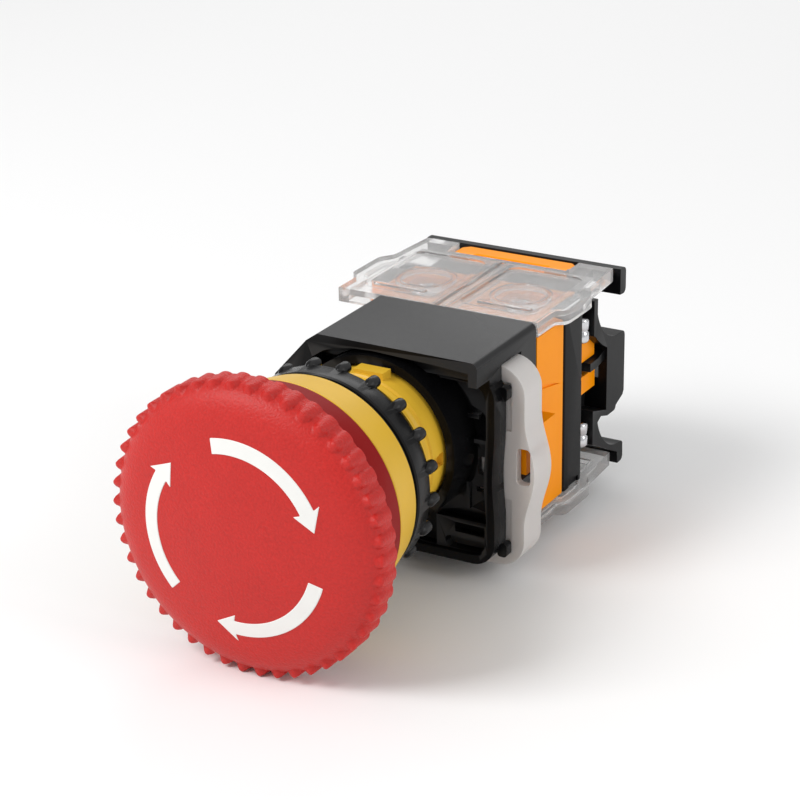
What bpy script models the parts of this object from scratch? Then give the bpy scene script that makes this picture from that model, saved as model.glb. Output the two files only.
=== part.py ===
"""Panel-mounted emergency stop button with a twist-release mushroom head, one NO and one NC contact.

Frame: metres, +Z up, the head faces -Y, and +X is to the right of someone facing it. The origin is
where the operator's axis crosses the front face of the panel. Y values below are measured from there.
Every function works in millimetres and the meshes are scaled to metres when they are made.
"""

import math

import bmesh
import bpy
from mathutils import Matrix, Vector

MM = 0.001
GAP = 0.15  # running and resting clearance between neighbours
SEGMENTS = 64

# Head, along the operator axis
HEAD_RADIUS = 20.0
RIM_Y = -17.0
CAP_POLE_Y = -21.5
CAP_BACK_Y = -14.4
TEETH = 46
TOOTH_DEPTH = 1.25
PUSH_TRAVEL = 5.0
CAP_FLOOR_Y = -17.4  # deepest point of the hollow back above the guard skirt
TOOTH_BAND_Y = (-17.6, -15.0)
ARROW_RADIUS = 12.3
ARROW_WIDTH = 2.0
ARROW_TIP_DEG = 15.9
ARROW_SPAN_DEG = 87.0
ARROW_HEAD_DEG = 12.0
ARROW_HEAD_WIDTH = 3.9
ARROW_THICKNESS = 0.25

# Cone of the guard skirt and bezel: one straight taper split at the colour change
SKIRT_FRONT_Y = CAP_FLOOR_Y + PUSH_TRAVEL + 0.4
SPLIT_Y = -7.4
BEZEL_REAR_Y = -0.8
CONE_RADIUS_AT_SPLIT = 16.3
CONE_TAPER = 0.225
BARREL_RADIUS = 11.0
BARREL_END_Y = 20.3
BARREL_BORE = 8.6
STEM_RADIUS = 4.8
STEM_REAR_Y = 21.0

# Panel nut
NUT_FRONT_Y = 0.15
NUT_REAR_Y = 5.0
NUT_RADIUS = 14.3
NUT_NUBS = 20
NUB_REACH = 15.25
NUB_RADIUS = 0.95
NUT_TRAVEL = 5.0  # how far the nut backs off for the thickest panel
KEY_Y = (NUT_REAR_Y + NUT_TRAVEL + 0.4, 12.9)

# Base housing
BASE_FRONT_Y = 14.0
BASE_REAR_Y = 31.1
BASE_TOP_Z = 14.0
BASE_BOTTOM_Z = -16.8
BASE_HALF = 15.6
CORNER_CUT = ((-8.7, 14.0), (-10.4, 12.8), (-15.6, 7.0))  # upper left corner of the hood
HOOD_CORNER = 3.0
WALL = 1.7
TRAY_HALF = 16.3
TRAY_FRONT_Y = 17.6
TRAY_REAR_Y = 21.0
TRAY_TOP_Z = 10.8
TRAY_CORNER = 3.4
TRAY_RIM = 1.6
TRAY_FLOOR = 1.2
ARCH_RADIUS = 13.2
WINDOWS_Z = ((-2.4, 0.2), (-8.4, -6.0))
WINDOWS_X = (12.4, 14.0)

# Lock lever
LEVER_FRONT_Y = 21.3
LEVER_REAR_Y = 26.4
LEVER_TOP_Z = 11.2
LEVER_BOTTOM_Z = -18.0
LEVER_REACH = 18.9
LEVER_BULGE = 20.4

# Contact blocks, symmetric about this height
BLOCK_Z = -1.4
BLOCK_HALF = 15.6
BLOCK_FRONT_Y = 31.4
BLOCK_REAR_Y = 48.6
BLOCK_TOP_Z = 11.7
PLUNGER_X = 7.6
PLUNGER_RADIUS = 1.7
BAR_FRONT_Y = 40.1
BAR_REAR_Y = 46.3
SCREW_Y = 42.2
BAR_HALF_INNER = 13.1
PIN_Y = 47.55
PIN_RADIUS = 1.1
PIN_HALF = 1.9
PIN_HEIGHTS = {1: 7.4, -1: -8.6}

# Heights above and below the blocks' middle
CAVITY = 6.9
PASSAGE = 6.2
BAY_FLOOR = 8.9
PAD = (9.1, 9.9)
LEG_END = 3.6
CLAMP = (10.0, 10.7)
SCREW_HEAD = (10.8, 12.9)
SHANK = (7.0, 11.5)
DRIVE_FLOOR = 11.9
BRIDGE_HALF = 5.8

# Rear plate
WEB_FRONT_Y = 48.8
WEB_REAR_Y = 50.0
PLATE_HALF = 15.9
PLATE_REAR_Y = 59.3

# Terminal covers
COVER_FRONT_Y = 31.3
COVER_REAR_Y = 56.3
COVER_TOP_Z = 14.0
COVER_RIM_Z = 11.9
COVER_HALF = 15.7
COVER_WALL = 1.1

COLOURS = {
    "red": ((0.62, 0.02, 0.018), 0.45, 0.0),
    "dark_red": ((0.36, 0.012, 0.012), 0.35, 0.0),
    "white": ((0.85, 0.85, 0.82), 0.45, 0.0),
    "yellow": ((0.75, 0.50, 0.03), 0.4, 0.0),
    "black": ((0.012, 0.012, 0.013), 0.35, 0.0),
    "rubber": ((0.02, 0.02, 0.02), 0.7, 0.0),
    "orange": ((0.90, 0.32, 0.005), 0.4, 0.0),
    "milky": ((0.72, 0.70, 0.69), 0.4, 0.0),
    "clear": ((0.85, 0.86, 0.86), 0.1, 0.0),
    "brass": ((0.70, 0.50, 0.20), 0.3, 1.0),
    "steel": ((0.60, 0.60, 0.62), 0.25, 1.0),
}


def material(name, kind):
    """One object's own Principled material."""
    colour, roughness, metallic = COLOURS[kind]
    made = bpy.data.materials.new(f"{name}_{kind}")
    made.use_nodes = True
    shader = made.node_tree.nodes["Principled BSDF"]
    shader.inputs["Base Color"].default_value = (*colour, 1.0)
    shader.inputs["Roughness"].default_value = roughness
    shader.inputs["Metallic"].default_value = metallic
    made.diffuse_color = (*colour, 1.0)
    return made


def add(name, mesh, kind, origin=(0.0, 0.0, 0.0), parent=None):
    """Puts a millimetre bmesh into the scene as a metre-scale object whose origin is at this point."""
    bmesh.ops.remove_doubles(mesh, verts=mesh.verts, dist=1e-4)
    bmesh.ops.recalc_face_normals(mesh, faces=mesh.faces)
    mesh.transform(Matrix.Scale(MM, 4) @ Matrix.Translation(-Vector(origin)))
    data = bpy.data.meshes.new(name)
    mesh.to_mesh(data)
    mesh.free()
    data.materials.append(material(name, kind))
    data.shade_smooth()
    data.set_sharp_from_angle(angle=math.radians(32))
    made = bpy.data.objects.new(name, data)
    made.location = Vector(origin) * MM
    bpy.context.collection.objects.link(made)
    if parent:
        made.parent = parent
        made.matrix_parent_inverse = parent.matrix_world.inverted()
    return made


def cutter(name, mesh):
    """A helper solid that is kept out of the model."""
    made = add(name, mesh, "black")
    made.hide_render = True
    made.display_type = "WIRE"
    return made


def change(target, helper, operation="DIFFERENCE"):
    boolean = target.modifiers.new(helper.name, "BOOLEAN")
    boolean.operation = operation
    boolean.object = helper
    boolean.solver = "EXACT"


def empty(name, at):
    made = bpy.data.objects.new(name, None)
    made.location = Vector(at) * MM
    bpy.context.collection.objects.link(made)
    bpy.context.view_layer.update()
    return made


def turned(profile, segments=SEGMENTS, centre=(0.0, 0.0)):
    """A solid of revolution about +Y from a closed loop of (radius, y) points, which may touch the axis."""
    mesh = bmesh.new()
    rings = []
    for radius, y in profile:
        if radius < 1e-6:
            rings.append([mesh.verts.new((centre[0], y, centre[1]))])
            continue
        angles = [2 * math.pi * i / segments for i in range(segments)]
        rings.append([
            mesh.verts.new((centre[0] + radius * math.cos(a), y, centre[1] + radius * math.sin(a)))
            for a in angles
        ])
    for here, there in zip(rings, rings[1:] + rings[:1]):
        if len(here) == 1 and len(there) == 1:
            continue
        for i in range(segments):
            j = (i + 1) % segments
            corners = [here[i % len(here)], here[j % len(here)], there[j % len(there)], there[i % len(there)]]
            mesh.faces.new(list(dict.fromkeys(corners)))
    return mesh


def prism(outline, axis, low, high):
    """A straight extrusion of a closed 2-D outline along X, Y or Z. The outline's two coordinates are
    the two other axes in X, Y, Z order."""
    mesh = bmesh.new()
    index = "XYZ".index(axis)

    def point(pair, along):
        values = list(pair)
        values.insert(index, along)
        return mesh.verts.new(values)

    bottom = [point(pair, low) for pair in outline]
    top = [point(pair, high) for pair in outline]
    mesh.faces.new(bottom)
    mesh.faces.new(top)
    for i in range(len(outline)):
        j = (i + 1) % len(outline)
        mesh.faces.new((bottom[i], bottom[j], top[j], top[i]))
    return mesh


def box(low, high):
    return prism([(low[0], low[1]), (high[0], low[1]), (high[0], high[1]), (low[0], high[1])],
                 "Z", low[2], high[2])


def arc(centre, radius, start_deg, end_deg, steps):
    """Points along a circular arc, both ends included."""
    angles = [math.radians(start_deg + (end_deg - start_deg) * i / steps) for i in range(steps + 1)]
    return [(centre[0] + radius * math.cos(a), centre[1] + radius * math.sin(a)) for a in angles]


def rounded(low, high, radius, steps=4):
    """A rectangle with round corners, counter-clockwise."""
    corners = ((high[0], high[1], 0), (low[0], high[1], 90), (low[0], low[1], 180), (high[0], low[1], 270))
    points = []
    for x, y, start in corners:
        centre = (x - math.copysign(radius, x - (low[0] + high[0]) / 2),
                  y - math.copysign(radius, y - (low[1] + high[1]) / 2))
        points += arc(centre, radius, start, start + 90, steps)
    return points


def cylinder(radius, low_y, high_y, centre=(0.0, 0.0), segments=24):
    return turned([(0.0, low_y), (radius, low_y), (radius, high_y), (0.0, high_y)], segments, centre)


def upright(radius, centre, low_z, high_z, segments=16):
    """A cylinder along Z at this (x, y)."""
    ring = arc(centre, radius, 0, 360 - 360 / segments, segments - 1)
    return prism(ring, "Z", low_z, high_z)


def coil(radius, wire, low_y, high_y, turns, centre=(0.0, 0.0), per_turn=12, sides=6):
    """A helical compression spring along Y with flat end faces."""
    mesh = bmesh.new()
    count = int(turns * per_turn)
    rings = []
    for i in range(count + 1):
        share = i / count
        angle = 2 * math.pi * turns * share
        middle = Vector((centre[0] + radius * math.cos(angle), low_y + (high_y - low_y) * share,
                         centre[1] + radius * math.sin(angle)))
        outward = Vector((math.cos(angle), 0, math.sin(angle)))
        along = Vector((0, 1, 0))
        ring = []
        for k in range(sides):
            turn = 2 * math.pi * k / sides
            away = outward * math.cos(turn) + along * math.sin(turn)
            ring.append(mesh.verts.new(middle + wire / 2 * away))
        rings.append(ring)
    for here, there in zip(rings, rings[1:]):
        for k in range(sides):
            m = (k + 1) % sides
            mesh.faces.new((here[k], here[m], there[m], there[k]))
    mesh.faces.new(rings[0])
    mesh.faces.new(rings[-1])
    return mesh


def cap_face_y(radius):
    """The cap's gently domed front face: flat in the middle, turning over into the rim."""
    dome = 0.0065 * radius * radius
    shoulder = max(0.0, radius - 14.5)
    return CAP_POLE_Y + dome + 0.068 * shoulder * shoulder


def make_cap(parent):
    """Mushroom cap: domed face, a rim of wedge teeth, and a hollow back that clears the guard skirt."""
    face = [(r, cap_face_y(r)) for r in (0.0, 5.0, 9.0, 12.3, 14.5, 16.5, 18.2, 19.3)]
    back = [(HEAD_RADIUS, RIM_Y + 0.4), (HEAD_RADIUS - 0.5, RIM_Y + 1.6), (19.0, CAP_BACK_Y),
            (18.5, CAP_BACK_Y)]
    hollow = [(18.3, CAP_FLOOR_Y + 1.0), (17.4, CAP_FLOOR_Y), (15.0, -18.3), (12.0, -19.0), (6.0, -19.4)]
    boss = [(6.0, -15.6), (3.3, -15.6), (3.3, -20.0), (0.0, -20.0)]
    mesh = turned(face + back + hollow + boss, 2 * TEETH)
    for vertex in mesh.verts:
        x, y, z = vertex.co
        radius = math.hypot(x, z)
        if radius < 18.9 or not TOOTH_BAND_Y[0] < y < TOOTH_BAND_Y[1]:
            continue
        number = round(math.atan2(z, x) / (math.pi / TEETH))
        if number % 2:
            shrink = (radius - TOOTH_DEPTH) / radius
            vertex.co.x *= shrink
            vertex.co.z *= shrink
    add("mushroom_cap", mesh, "red", parent=parent)


def make_arrow(number, parent):
    """One clockwise arrow inlay that follows the domed face."""
    tip = math.radians(ARROW_TIP_DEG + 120 * number)
    neck = tip + math.radians(ARROW_HEAD_DEG)
    tail = tip + math.radians(ARROW_SPAN_DEG)
    steps = 12
    sweep = [neck + (tail - neck) * i / steps for i in range(steps + 1)]
    half = ARROW_WIDTH / 2
    inner = [(ARROW_RADIUS - half, a) for a in sweep]
    outer = [(ARROW_RADIUS + half, a) for a in sweep]
    wing = ARROW_HEAD_WIDTH / 2
    head = [(ARROW_RADIUS - wing, neck), (ARROW_RADIUS, tip), (ARROW_RADIUS + wing, neck)]
    mesh = bmesh.new()

    def lifted(polar, lift):
        radius, angle = polar
        return mesh.verts.new((radius * math.cos(angle), cap_face_y(radius) - lift, radius * math.sin(angle)))

    low, high = 0.1, 0.1 + ARROW_THICKNESS
    band = {}
    for lift in (low, high):
        band[lift] = ([lifted(p, lift) for p in inner], [lifted(p, lift) for p in outer],
                      [lifted(p, lift) for p in head])
        ins, outs, tips = band[lift]
        for i in range(steps):
            mesh.faces.new((ins[i], ins[i + 1], outs[i + 1], outs[i]))
        mesh.faces.new((tips[0], ins[0], outs[0], tips[2], tips[1]))
    rims = [[band[lift][2][1], band[lift][2][2]] + band[lift][1] + band[lift][0][::-1] + [band[lift][2][0]]
            for lift in (low, high)]
    for i in range(len(rims[0])):
        j = (i + 1) % len(rims[0])
        mesh.faces.new((rims[0][i], rims[0][j], rims[1][j], rims[1][i]))
    add(f"arrow_inlay_{number + 1}", mesh, "white", parent=parent)


def cone_radius(y):
    return CONE_RADIUS_AT_SPLIT - CONE_TAPER * (y - SPLIT_Y)


def make_collar():
    """Guard skirt, bezel with its threaded barrel, latch sleeve, gasket and panel nut."""
    rear = SPLIT_Y - 0.05
    skirt = [(cone_radius(SKIRT_FRONT_Y), SKIRT_FRONT_Y), (cone_radius(rear), rear),
             (13.0, rear), (13.6, SKIRT_FRONT_Y)]
    add("guard_skirt", turned(skirt), "dark_red")

    front = SPLIT_Y + 0.05
    bezel = [(cone_radius(front), front), (cone_radius(BEZEL_REAR_Y), BEZEL_REAR_Y),
             (BARREL_RADIUS, BEZEL_REAR_Y), (BARREL_RADIUS, BARREL_END_Y), (BARREL_BORE, BARREL_END_Y),
             (BARREL_BORE, -5.2), (STEM_RADIUS + 0.3, -5.2), (STEM_RADIUS + 0.3, front)]
    barrel = add("bezel_barrel", turned(bezel), "yellow")
    key = cutter("barrel_key", box((-0.6, KEY_Y[0], 9.8), (3.6, KEY_Y[1], 12.2)))
    change(barrel, key, "UNION")

    sleeve = [(BARREL_BORE - 0.3, 7.4), (BARREL_BORE - 0.3, 13.4),
              (STEM_RADIUS + 0.4, 13.4), (STEM_RADIUS + 0.4, 7.4)]
    add("latch_sleeve", turned(sleeve, 48), "black")
    add("panel_gasket", turned([(14.3, -0.65), (14.3, 0.0), (BARREL_RADIUS + GAP, 0.0),
                                (BARREL_RADIUS + GAP, -0.65)]), "rubber")


def make_nut(parent):
    """Panel nut: a plain front band and round grip nubs on its rear half."""
    inner = BARREL_RADIUS + 0.3
    band_y = 2.3
    profile = [(NUT_RADIUS + 0.3, NUT_FRONT_Y), (NUT_RADIUS + 0.3, band_y), (NUT_RADIUS, band_y + 0.4),
               (NUT_RADIUS, NUT_REAR_Y - 0.4), (NUT_RADIUS - 0.4, NUT_REAR_Y), (inner, NUT_REAR_Y),
               (inner, NUT_FRONT_Y)]
    nut = add("panel_nut", turned(profile, 60), "black", parent=parent)
    nubs = bmesh.new()
    for number in range(NUT_NUBS):
        angle = 2 * math.pi * (number + 0.68) / NUT_NUBS
        reach = NUB_REACH - NUB_RADIUS
        centre = (reach * math.cos(angle), reach * math.sin(angle))
        single = cylinder(NUB_RADIUS, band_y + 0.5, NUT_REAR_Y - 0.35, centre, 8)
        data = bpy.data.meshes.new("nub")
        single.to_mesh(data)
        nubs.from_mesh(data)
        single.free()
        bpy.data.meshes.remove(data)
    change(nut, cutter("grip_nubs", nubs), "UNION")


def make_operator(parent):
    """The stem that the cap snaps on to, and the plate on its rear end that pushes the contacts."""
    stem = [(0.0, -19.8), (3.0, -19.8), (3.0, -15.4), (STEM_RADIUS, -15.4), (STEM_RADIUS, -4.9),
            (7.9, -4.9), (7.9, -3.4), (STEM_RADIUS, -3.4), (STEM_RADIUS, STEM_REAR_Y), (0.0, STEM_REAR_Y)]
    add("operator_stem", turned(stem, 32), "black", parent=parent)
    plate = [(0.0, 21.15), (10.2, 21.15), (10.2, 22.9), (0.0, 22.9)]
    add("actuator_plate", turned(plate, 32), "black", parent=parent)
    add("return_spring", coil(6.4, 0.9, -2.8, 6.8, 4.5), "steel")


def tray_outline(inset=0.0):
    """The tray seen from the front, with the hood's cut at its upper left."""
    half, corner = TRAY_HALF - inset, TRAY_CORNER - 0.6 * inset
    low, high = BASE_BOTTOM_Z + inset, TRAY_TOP_Z - inset
    slope = (CORNER_CUT[1][1] - CORNER_CUT[2][1]) / (CORNER_CUT[1][0] - CORNER_CUT[2][0])
    cut_high = CORNER_CUT[2][0] + (TRAY_TOP_Z - CORNER_CUT[2][1]) / slope + 0.6 * inset
    cut_low = CORNER_CUT[2][1] - slope * (TRAY_HALF - BASE_HALF) - 0.6 * inset
    return (arc((-half + corner, low + corner), corner, 180, 270, 6)
            + arc((half - corner, low + corner), corner, 270, 360, 6)
            + arc((half - corner, high - corner), corner, 0, 90, 6) + [(cut_high, high), (-half, cut_low)])


def make_base():
    """Hood, arch, front tray and rear chamber in one moulding, with the lever's slot in its right side."""
    low_corner = (BASE_HALF - HOOD_CORNER, BASE_BOTTOM_Z + HOOD_CORNER)
    hood = (arc((-low_corner[0], low_corner[1]), HOOD_CORNER, 180, 270, 5)
            + arc(low_corner, HOOD_CORNER, 270, 360, 5) + [(BASE_HALF, BASE_TOP_Z)] + list(CORNER_CUT))
    base = add("base_housing", prism(hood, "Y", BASE_FRONT_Y, BASE_REAR_Y), "black")
    change(base, cutter("tray_body", prism(tray_outline(), "Y", TRAY_FRONT_Y, TRAY_REAR_Y)), "UNION")

    in_front = BASE_FRONT_Y - 1.0
    below = cutter("front_clearance", prism(
        [(-20.0, -20.0), (20.0, -20.0), (20.0, TRAY_TOP_Z - 0.2), (-20.0, TRAY_TOP_Z - 0.2)],
        "Y", in_front, TRAY_FRONT_Y))
    change(base, below)
    change(base, cutter("arch", cylinder(ARCH_RADIUS, in_front, TRAY_FRONT_Y + 0.5, segments=48)))
    change(base, cutter("bore", cylinder(BARREL_RADIUS + 0.35, in_front, TRAY_REAR_Y + 3.0, segments=48)))
    change(base, cutter("tray_pocket", prism(tray_outline(TRAY_RIM), "Y", TRAY_FRONT_Y - 1.0,
                                             TRAY_REAR_Y - TRAY_FLOOR)))

    chamber = [(-BASE_HALF + WALL, BASE_BOTTOM_Z + WALL), (BASE_HALF - WALL, BASE_BOTTOM_Z + WALL),
               (BASE_HALF - WALL, BASE_TOP_Z - WALL), (CORNER_CUT[0][0] + 1.0, BASE_TOP_Z - WALL),
               (-BASE_HALF + WALL, CORNER_CUT[2][1] - 1.2)]
    change(base, cutter("chamber", prism(chamber, "Y", TRAY_REAR_Y, BASE_REAR_Y + 1.0)))
    slot = cutter("lever_slot", box((11.0, LEVER_FRONT_Y - 0.3, LEVER_BOTTOM_Z - 2.0),
                                    (22.0, LEVER_REAR_Y + 0.3, LEVER_TOP_Z + 0.3)))
    change(base, slot)
    for number, (low_z, high_z) in enumerate(WINDOWS_Z):
        window = box((WINDOWS_X[0], TRAY_FRONT_Y, low_z), (WINDOWS_X[1], TRAY_REAR_Y + 1, high_z))
        change(base, cutter(f"window_{number}", window))


def lever_outline(inset=0.0):
    """The lever seen from the front: rounded ends and a thumb bulge half way down."""
    top = LEVER_TOP_Z - inset
    bottom = LEVER_BOTTOM_Z + inset
    reach = LEVER_REACH - inset
    middle = -4.0
    swell = LEVER_BULGE - LEVER_REACH
    half = 8.0
    corner = 4.0 - inset
    steps = 10
    bulge = []
    for i in range(steps + 1):
        z = middle - half + 2 * half * i / steps
        bulge.append((reach + swell * 0.5 * (1 + math.cos(math.pi * (z - middle) / half)), z))
    return ([(12.0 + inset, bottom)] + arc((reach - corner, bottom + corner), corner, -90, 0, 5) + bulge
            + arc((reach - corner, top - corner), corner, 0, 90, 5) + [(12.0 + inset, top)])


def make_lever(parent):
    """Lock lever: a front plate and an outer wall, hollow behind, with a slot beside the thumb bulge."""
    lever = add("lock_lever", prism(lever_outline(), "Y", LEVER_FRONT_Y, LEVER_REAR_Y), "milky", parent=parent)
    hollow = cutter("lever_hollow", prism(lever_outline(1.3), "Y", LEVER_FRONT_Y + 1.3, LEVER_REAR_Y + 1.0))
    change(lever, hollow)
    slot = rounded((16.6, -6.4), (18.4, -0.4), 0.85, 3)
    change(lever, cutter("thumb_slot", prism(slot, "Y", LEVER_FRONT_Y - 1.0, LEVER_REAR_Y - 1.0)))


def block_side(side, name):
    """One contact housing: a box open in front for its plunger, with a terminal bay above and below."""
    inner, outer = 0.1, BLOCK_HALF
    xs = sorted((side * inner, side * outer))
    half_height = BLOCK_TOP_Z - BLOCK_Z
    low_z, high_z = BLOCK_Z - half_height, BLOCK_Z + half_height
    body = add(name, box((xs[0], BLOCK_FRONT_Y, low_z), (xs[1], BLOCK_REAR_Y, high_z)), "orange")
    recess = sorted((side * 12.9, side * 17.0))
    change(body, cutter(f"{name}_bar_seat", box((recess[0], BAR_FRONT_Y - 0.1, low_z - 1),
                                                 (recess[1], BLOCK_REAR_Y + 1, high_z + 1))))
    cavity = sorted((side * 2.2, side * 12.0))
    change(body, cutter(f"{name}_cavity", box((cavity[0], BLOCK_FRONT_Y + 1.4, BLOCK_Z - CAVITY),
                                              (cavity[1], BLOCK_REAR_Y - 1.2, BLOCK_Z + CAVITY))))
    centre = (side * PLUNGER_X, BLOCK_Z)
    hole = cylinder(PLUNGER_RADIUS + 0.25, BLOCK_FRONT_Y - 1, BLOCK_FRONT_Y + 3, centre, 16)
    change(body, cutter(f"{name}_plunger_hole", hole))
    for end in (-1, 1):
        floor = BLOCK_Z + end * BAY_FLOOR
        roof = BLOCK_Z + end * (half_height + 1)
        zs = sorted((floor, roof))
        bay = cutter(f"{name}_bay_{end + 1}", box((cavity[0] + 0.6, BLOCK_FRONT_Y + 1.9, zs[0]),
                                                  (cavity[1] - 0.6, BLOCK_REAR_Y - 1.4, zs[1])))
        change(body, bay)
        leg_y = contact_y(side)
        zs = sorted((BLOCK_Z + end * PASSAGE, floor))
        slit = cutter(f"{name}_slit_{end + 1}", box((side * PLUNGER_X - 2.6, leg_y - 0.25, zs[0] - 0.1),
                                                    (side * PLUNGER_X + 2.6, leg_y + 1.05, zs[1] + 0.1)))
        change(body, slit)
        zs = sorted((BLOCK_Z + end * PASSAGE, floor + end * 0.1))
        bore = cutter(f"{name}_bore_{end + 1}", upright(1.7, (side * PLUNGER_X, SCREW_Y), zs[0], zs[1]))
        change(body, bore)


def contact_y(side):
    """Front face of the fixed contacts: behind the bridge when open (right), just ahead of it when closed."""
    return 44.6 if side > 0 else 36.4


def bridge_y(side):
    return 38.6 if side > 0 else 37.5


def make_fixed_contact(side, end, name):
    """A brass angle: a pad in the terminal bay and a leg that reaches down to the bridge."""
    x = side * PLUNGER_X
    leg_y = contact_y(side)
    pad_low, pad_high = BLOCK_Z + end * PAD[0], BLOCK_Z + end * PAD[1]
    leg_low = BLOCK_Z + end * LEG_END
    pad_ys = sorted((leg_y + (0.8 if side > 0 else 0.0), SCREW_Y - side * 3.4))
    zs = sorted((pad_low, pad_high))
    pad = box((x - 2.3, pad_ys[0], zs[0]), (x + 2.3, pad_ys[1], zs[1]))
    made = add(name, pad, "brass")
    zs = sorted((leg_low, pad_high))
    leg = box((x - 2.3, leg_y, zs[0]), (x + 2.3, leg_y + 0.8, zs[1]))
    change(made, cutter(f"{name}_leg", leg), "UNION")
    zs = sorted((pad_low - end * 0.6, pad_high + end * 0.6))
    change(made, cutter(f"{name}_hole", upright(1.6, (x, SCREW_Y), zs[0], zs[1])))


def make_terminal(side, end, name):
    """Clamp plate and terminal screw over one fixed contact."""
    x = side * PLUNGER_X
    zs = sorted(BLOCK_Z + end * height for height in CLAMP)
    square = box((x - 2.9, SCREW_Y - 2.9, zs[0]), (x + 2.9, SCREW_Y + 2.9, zs[1]))
    plate = add(f"clamp_plate_{name}", square, "steel")
    change(plate, cutter(f"clamp_hole_{name}", upright(1.6, (x, SCREW_Y), zs[0] - 1, zs[1] + 1)))
    zs = sorted(BLOCK_Z + end * height for height in SCREW_HEAD)
    screw = add(f"terminal_screw_{name}", upright(2.5, (x, SCREW_Y), zs[0], zs[1], 20), "steel")
    shank_zs = sorted(BLOCK_Z + end * height for height in SHANK)
    shank = upright(1.4, (x, SCREW_Y), shank_zs[0], shank_zs[1], 16)
    change(screw, cutter(f"shank_{name}", shank), "UNION")
    slot_zs = sorted((BLOCK_Z + end * DRIVE_FLOOR, BLOCK_Z + end * (SCREW_HEAD[1] + 1)))
    for turn, (half_x, half_y) in enumerate(((0.35, 1.7), (1.7, 0.35))):
        groove = box((x - half_x, SCREW_Y - half_y, slot_zs[0]), (x + half_x, SCREW_Y + half_y, slot_zs[1]))
        change(screw, cutter(f"drive_{name}_{turn}", groove))


def make_contact(side, kind, parent):
    """Plunger with its brass bridge, and the spring that pushes both forward."""
    centre = (side * PLUNGER_X, BLOCK_Z)
    bridge = bridge_y(side)
    shoulder = bridge + 1.6
    rod = [(0.0, 23.05), (PLUNGER_RADIUS, 23.05), (PLUNGER_RADIUS, shoulder), (0.95, shoulder),
           (0.95, 42.0), (0.0, 42.0)]
    add(f"contact_plunger_{kind}", turned(rod, 16, centre), "milky", parent=parent)
    strip = box((centre[0] - 2.6, bridge, centre[1] - BRIDGE_HALF),
                (centre[0] + 2.6, bridge + 0.7, centre[1] + BRIDGE_HALF))
    bar = add(f"moving_bridge_{kind}", strip, "brass", parent=parent)
    hole = cylinder(PLUNGER_RADIUS + 0.08, bridge - 1, bridge + 2, centre, 16)
    change(bar, cutter(f"bridge_hole_{kind}", hole))
    add(f"contact_spring_{kind}", coil(1.55, 0.4, shoulder + 0.4, 47.0, 5, centre, 10, 5), "steel")


def make_side_bar(side, name):
    xs = sorted((side * BAR_HALF_INNER, side * BLOCK_HALF))
    half_height = BLOCK_TOP_Z - BLOCK_Z + 0.1
    outline = rounded((xs[0], BAR_FRONT_Y), (xs[1], BAR_REAR_Y), 0.5, 2)
    add(name, prism(outline, "Z", BLOCK_Z - half_height, BLOCK_Z + half_height), "black")
    for end, word in ((1, "upper"), (-1, "lower")):
        middle = PIN_HEIGHTS[end]
        low, high = middle - PIN_HALF, middle + PIN_HALF
        profile = [(0.0, low), (PIN_RADIUS - 0.4, low), (PIN_RADIUS, low + 0.5),
                   (PIN_RADIUS, high - 0.5), (PIN_RADIUS - 0.4, high), (0.0, high)]
        mesh = turned(profile, 16)
        mesh.transform(Matrix.Rotation(math.radians(90), 4, "X") @ Matrix.Translation((0, -middle, 0)))
        mesh.transform(Matrix.Translation((side * 14.5, PIN_Y, middle)))
        add(f"clamp_pin_{name.split('_')[-1]}_{word}", mesh, "steel")


def make_rear_plate():
    """Rear plate: a web with a centre block, and two hooked rails beyond round notches."""
    upper = arc((57.4, 11.6), 7.8, 180 + 18, 270, 8)
    lower = arc((58.5, -5.2), 8.4, 180 + 17, 270, 8)
    outline = ([(WEB_FRONT_Y, 11.5), (WEB_REAR_Y, 11.5), (upper[0][0], upper[0][1])] + upper[1:]
               + [(PLATE_REAR_Y, 3.8), (PLATE_REAR_Y, -6.2), (57.0, -7.0), (56.5, -7.8), (53.4, -7.8),
                  (51.6, -7.1)]
               + lower + [(PLATE_REAR_Y, -13.7), (PLATE_REAR_Y, -16.2), (PLATE_REAR_Y - 0.6, -16.8),
                          (57.5, -16.8), (57.3, -14.9), (WEB_FRONT_Y, -10.6)])
    plate = add("rear_plate", prism(outline, "X", -PLATE_HALF, PLATE_HALF), "black")
    rail = [(57.4, 9.6), (PLATE_REAR_Y - 0.5, 9.6), (PLATE_REAR_Y, 10.1), (PLATE_REAR_Y, 13.1),
            (PLATE_REAR_Y - 0.5, 13.6), (57.4, 13.6)]
    change(plate, cutter("top_rail", prism(rail, "X", -PLATE_HALF, PLATE_HALF)), "UNION")
    change(plate, cutter("top_arm", box((-11.5, WEB_FRONT_Y + 0.1, 9.95), (11.5, 57.6, 11.4))), "UNION")
    for side in (-1, 1):
        xs = sorted((side * 12.6, side * 20.0))
        change(plate, cutter(f"side_recess_{side + 1}", prism(
            [(xs[0], 50.3), (xs[1], 50.3), (xs[1], 54.2), (xs[0], 54.2)], "Z", -6.6, 2.8)))
    for side, word in ((-1, "left"), (1, "right")):
        x = side * 6.2
        change(plate, cutter(f"fixing_hole_{word}", cylinder(1.75, 45.0, 62.0, (x, BLOCK_Z), 16)))
        screw = [(0.0, 48.95), (1.5, 48.95), (1.5, 56.2), (0.0, 56.2)]
        add(f"fixing_screw_{word}", turned(screw, 16, (x, BLOCK_Z)), "steel")


def make_release_tab():
    add("release_tab", box((-9.4, 53.2, 11.6), (9.4, 57.25, 13.4)), "orange")


def cover_outline(grow=0.0):
    """Plan of a terminal cover: straight sides with a shallow swelling beside the terminals."""
    half = COVER_HALF + grow
    swell = half + 1.0
    front, rear = COVER_FRONT_Y - grow, COVER_REAR_Y + grow
    right = [(half, front), (half, 36.2), (swell, 37.4), (swell, 46.4), (half, 47.6), (half - 0.5, rear)]
    return right + [(-x, y) for x, y in reversed(right)]


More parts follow.
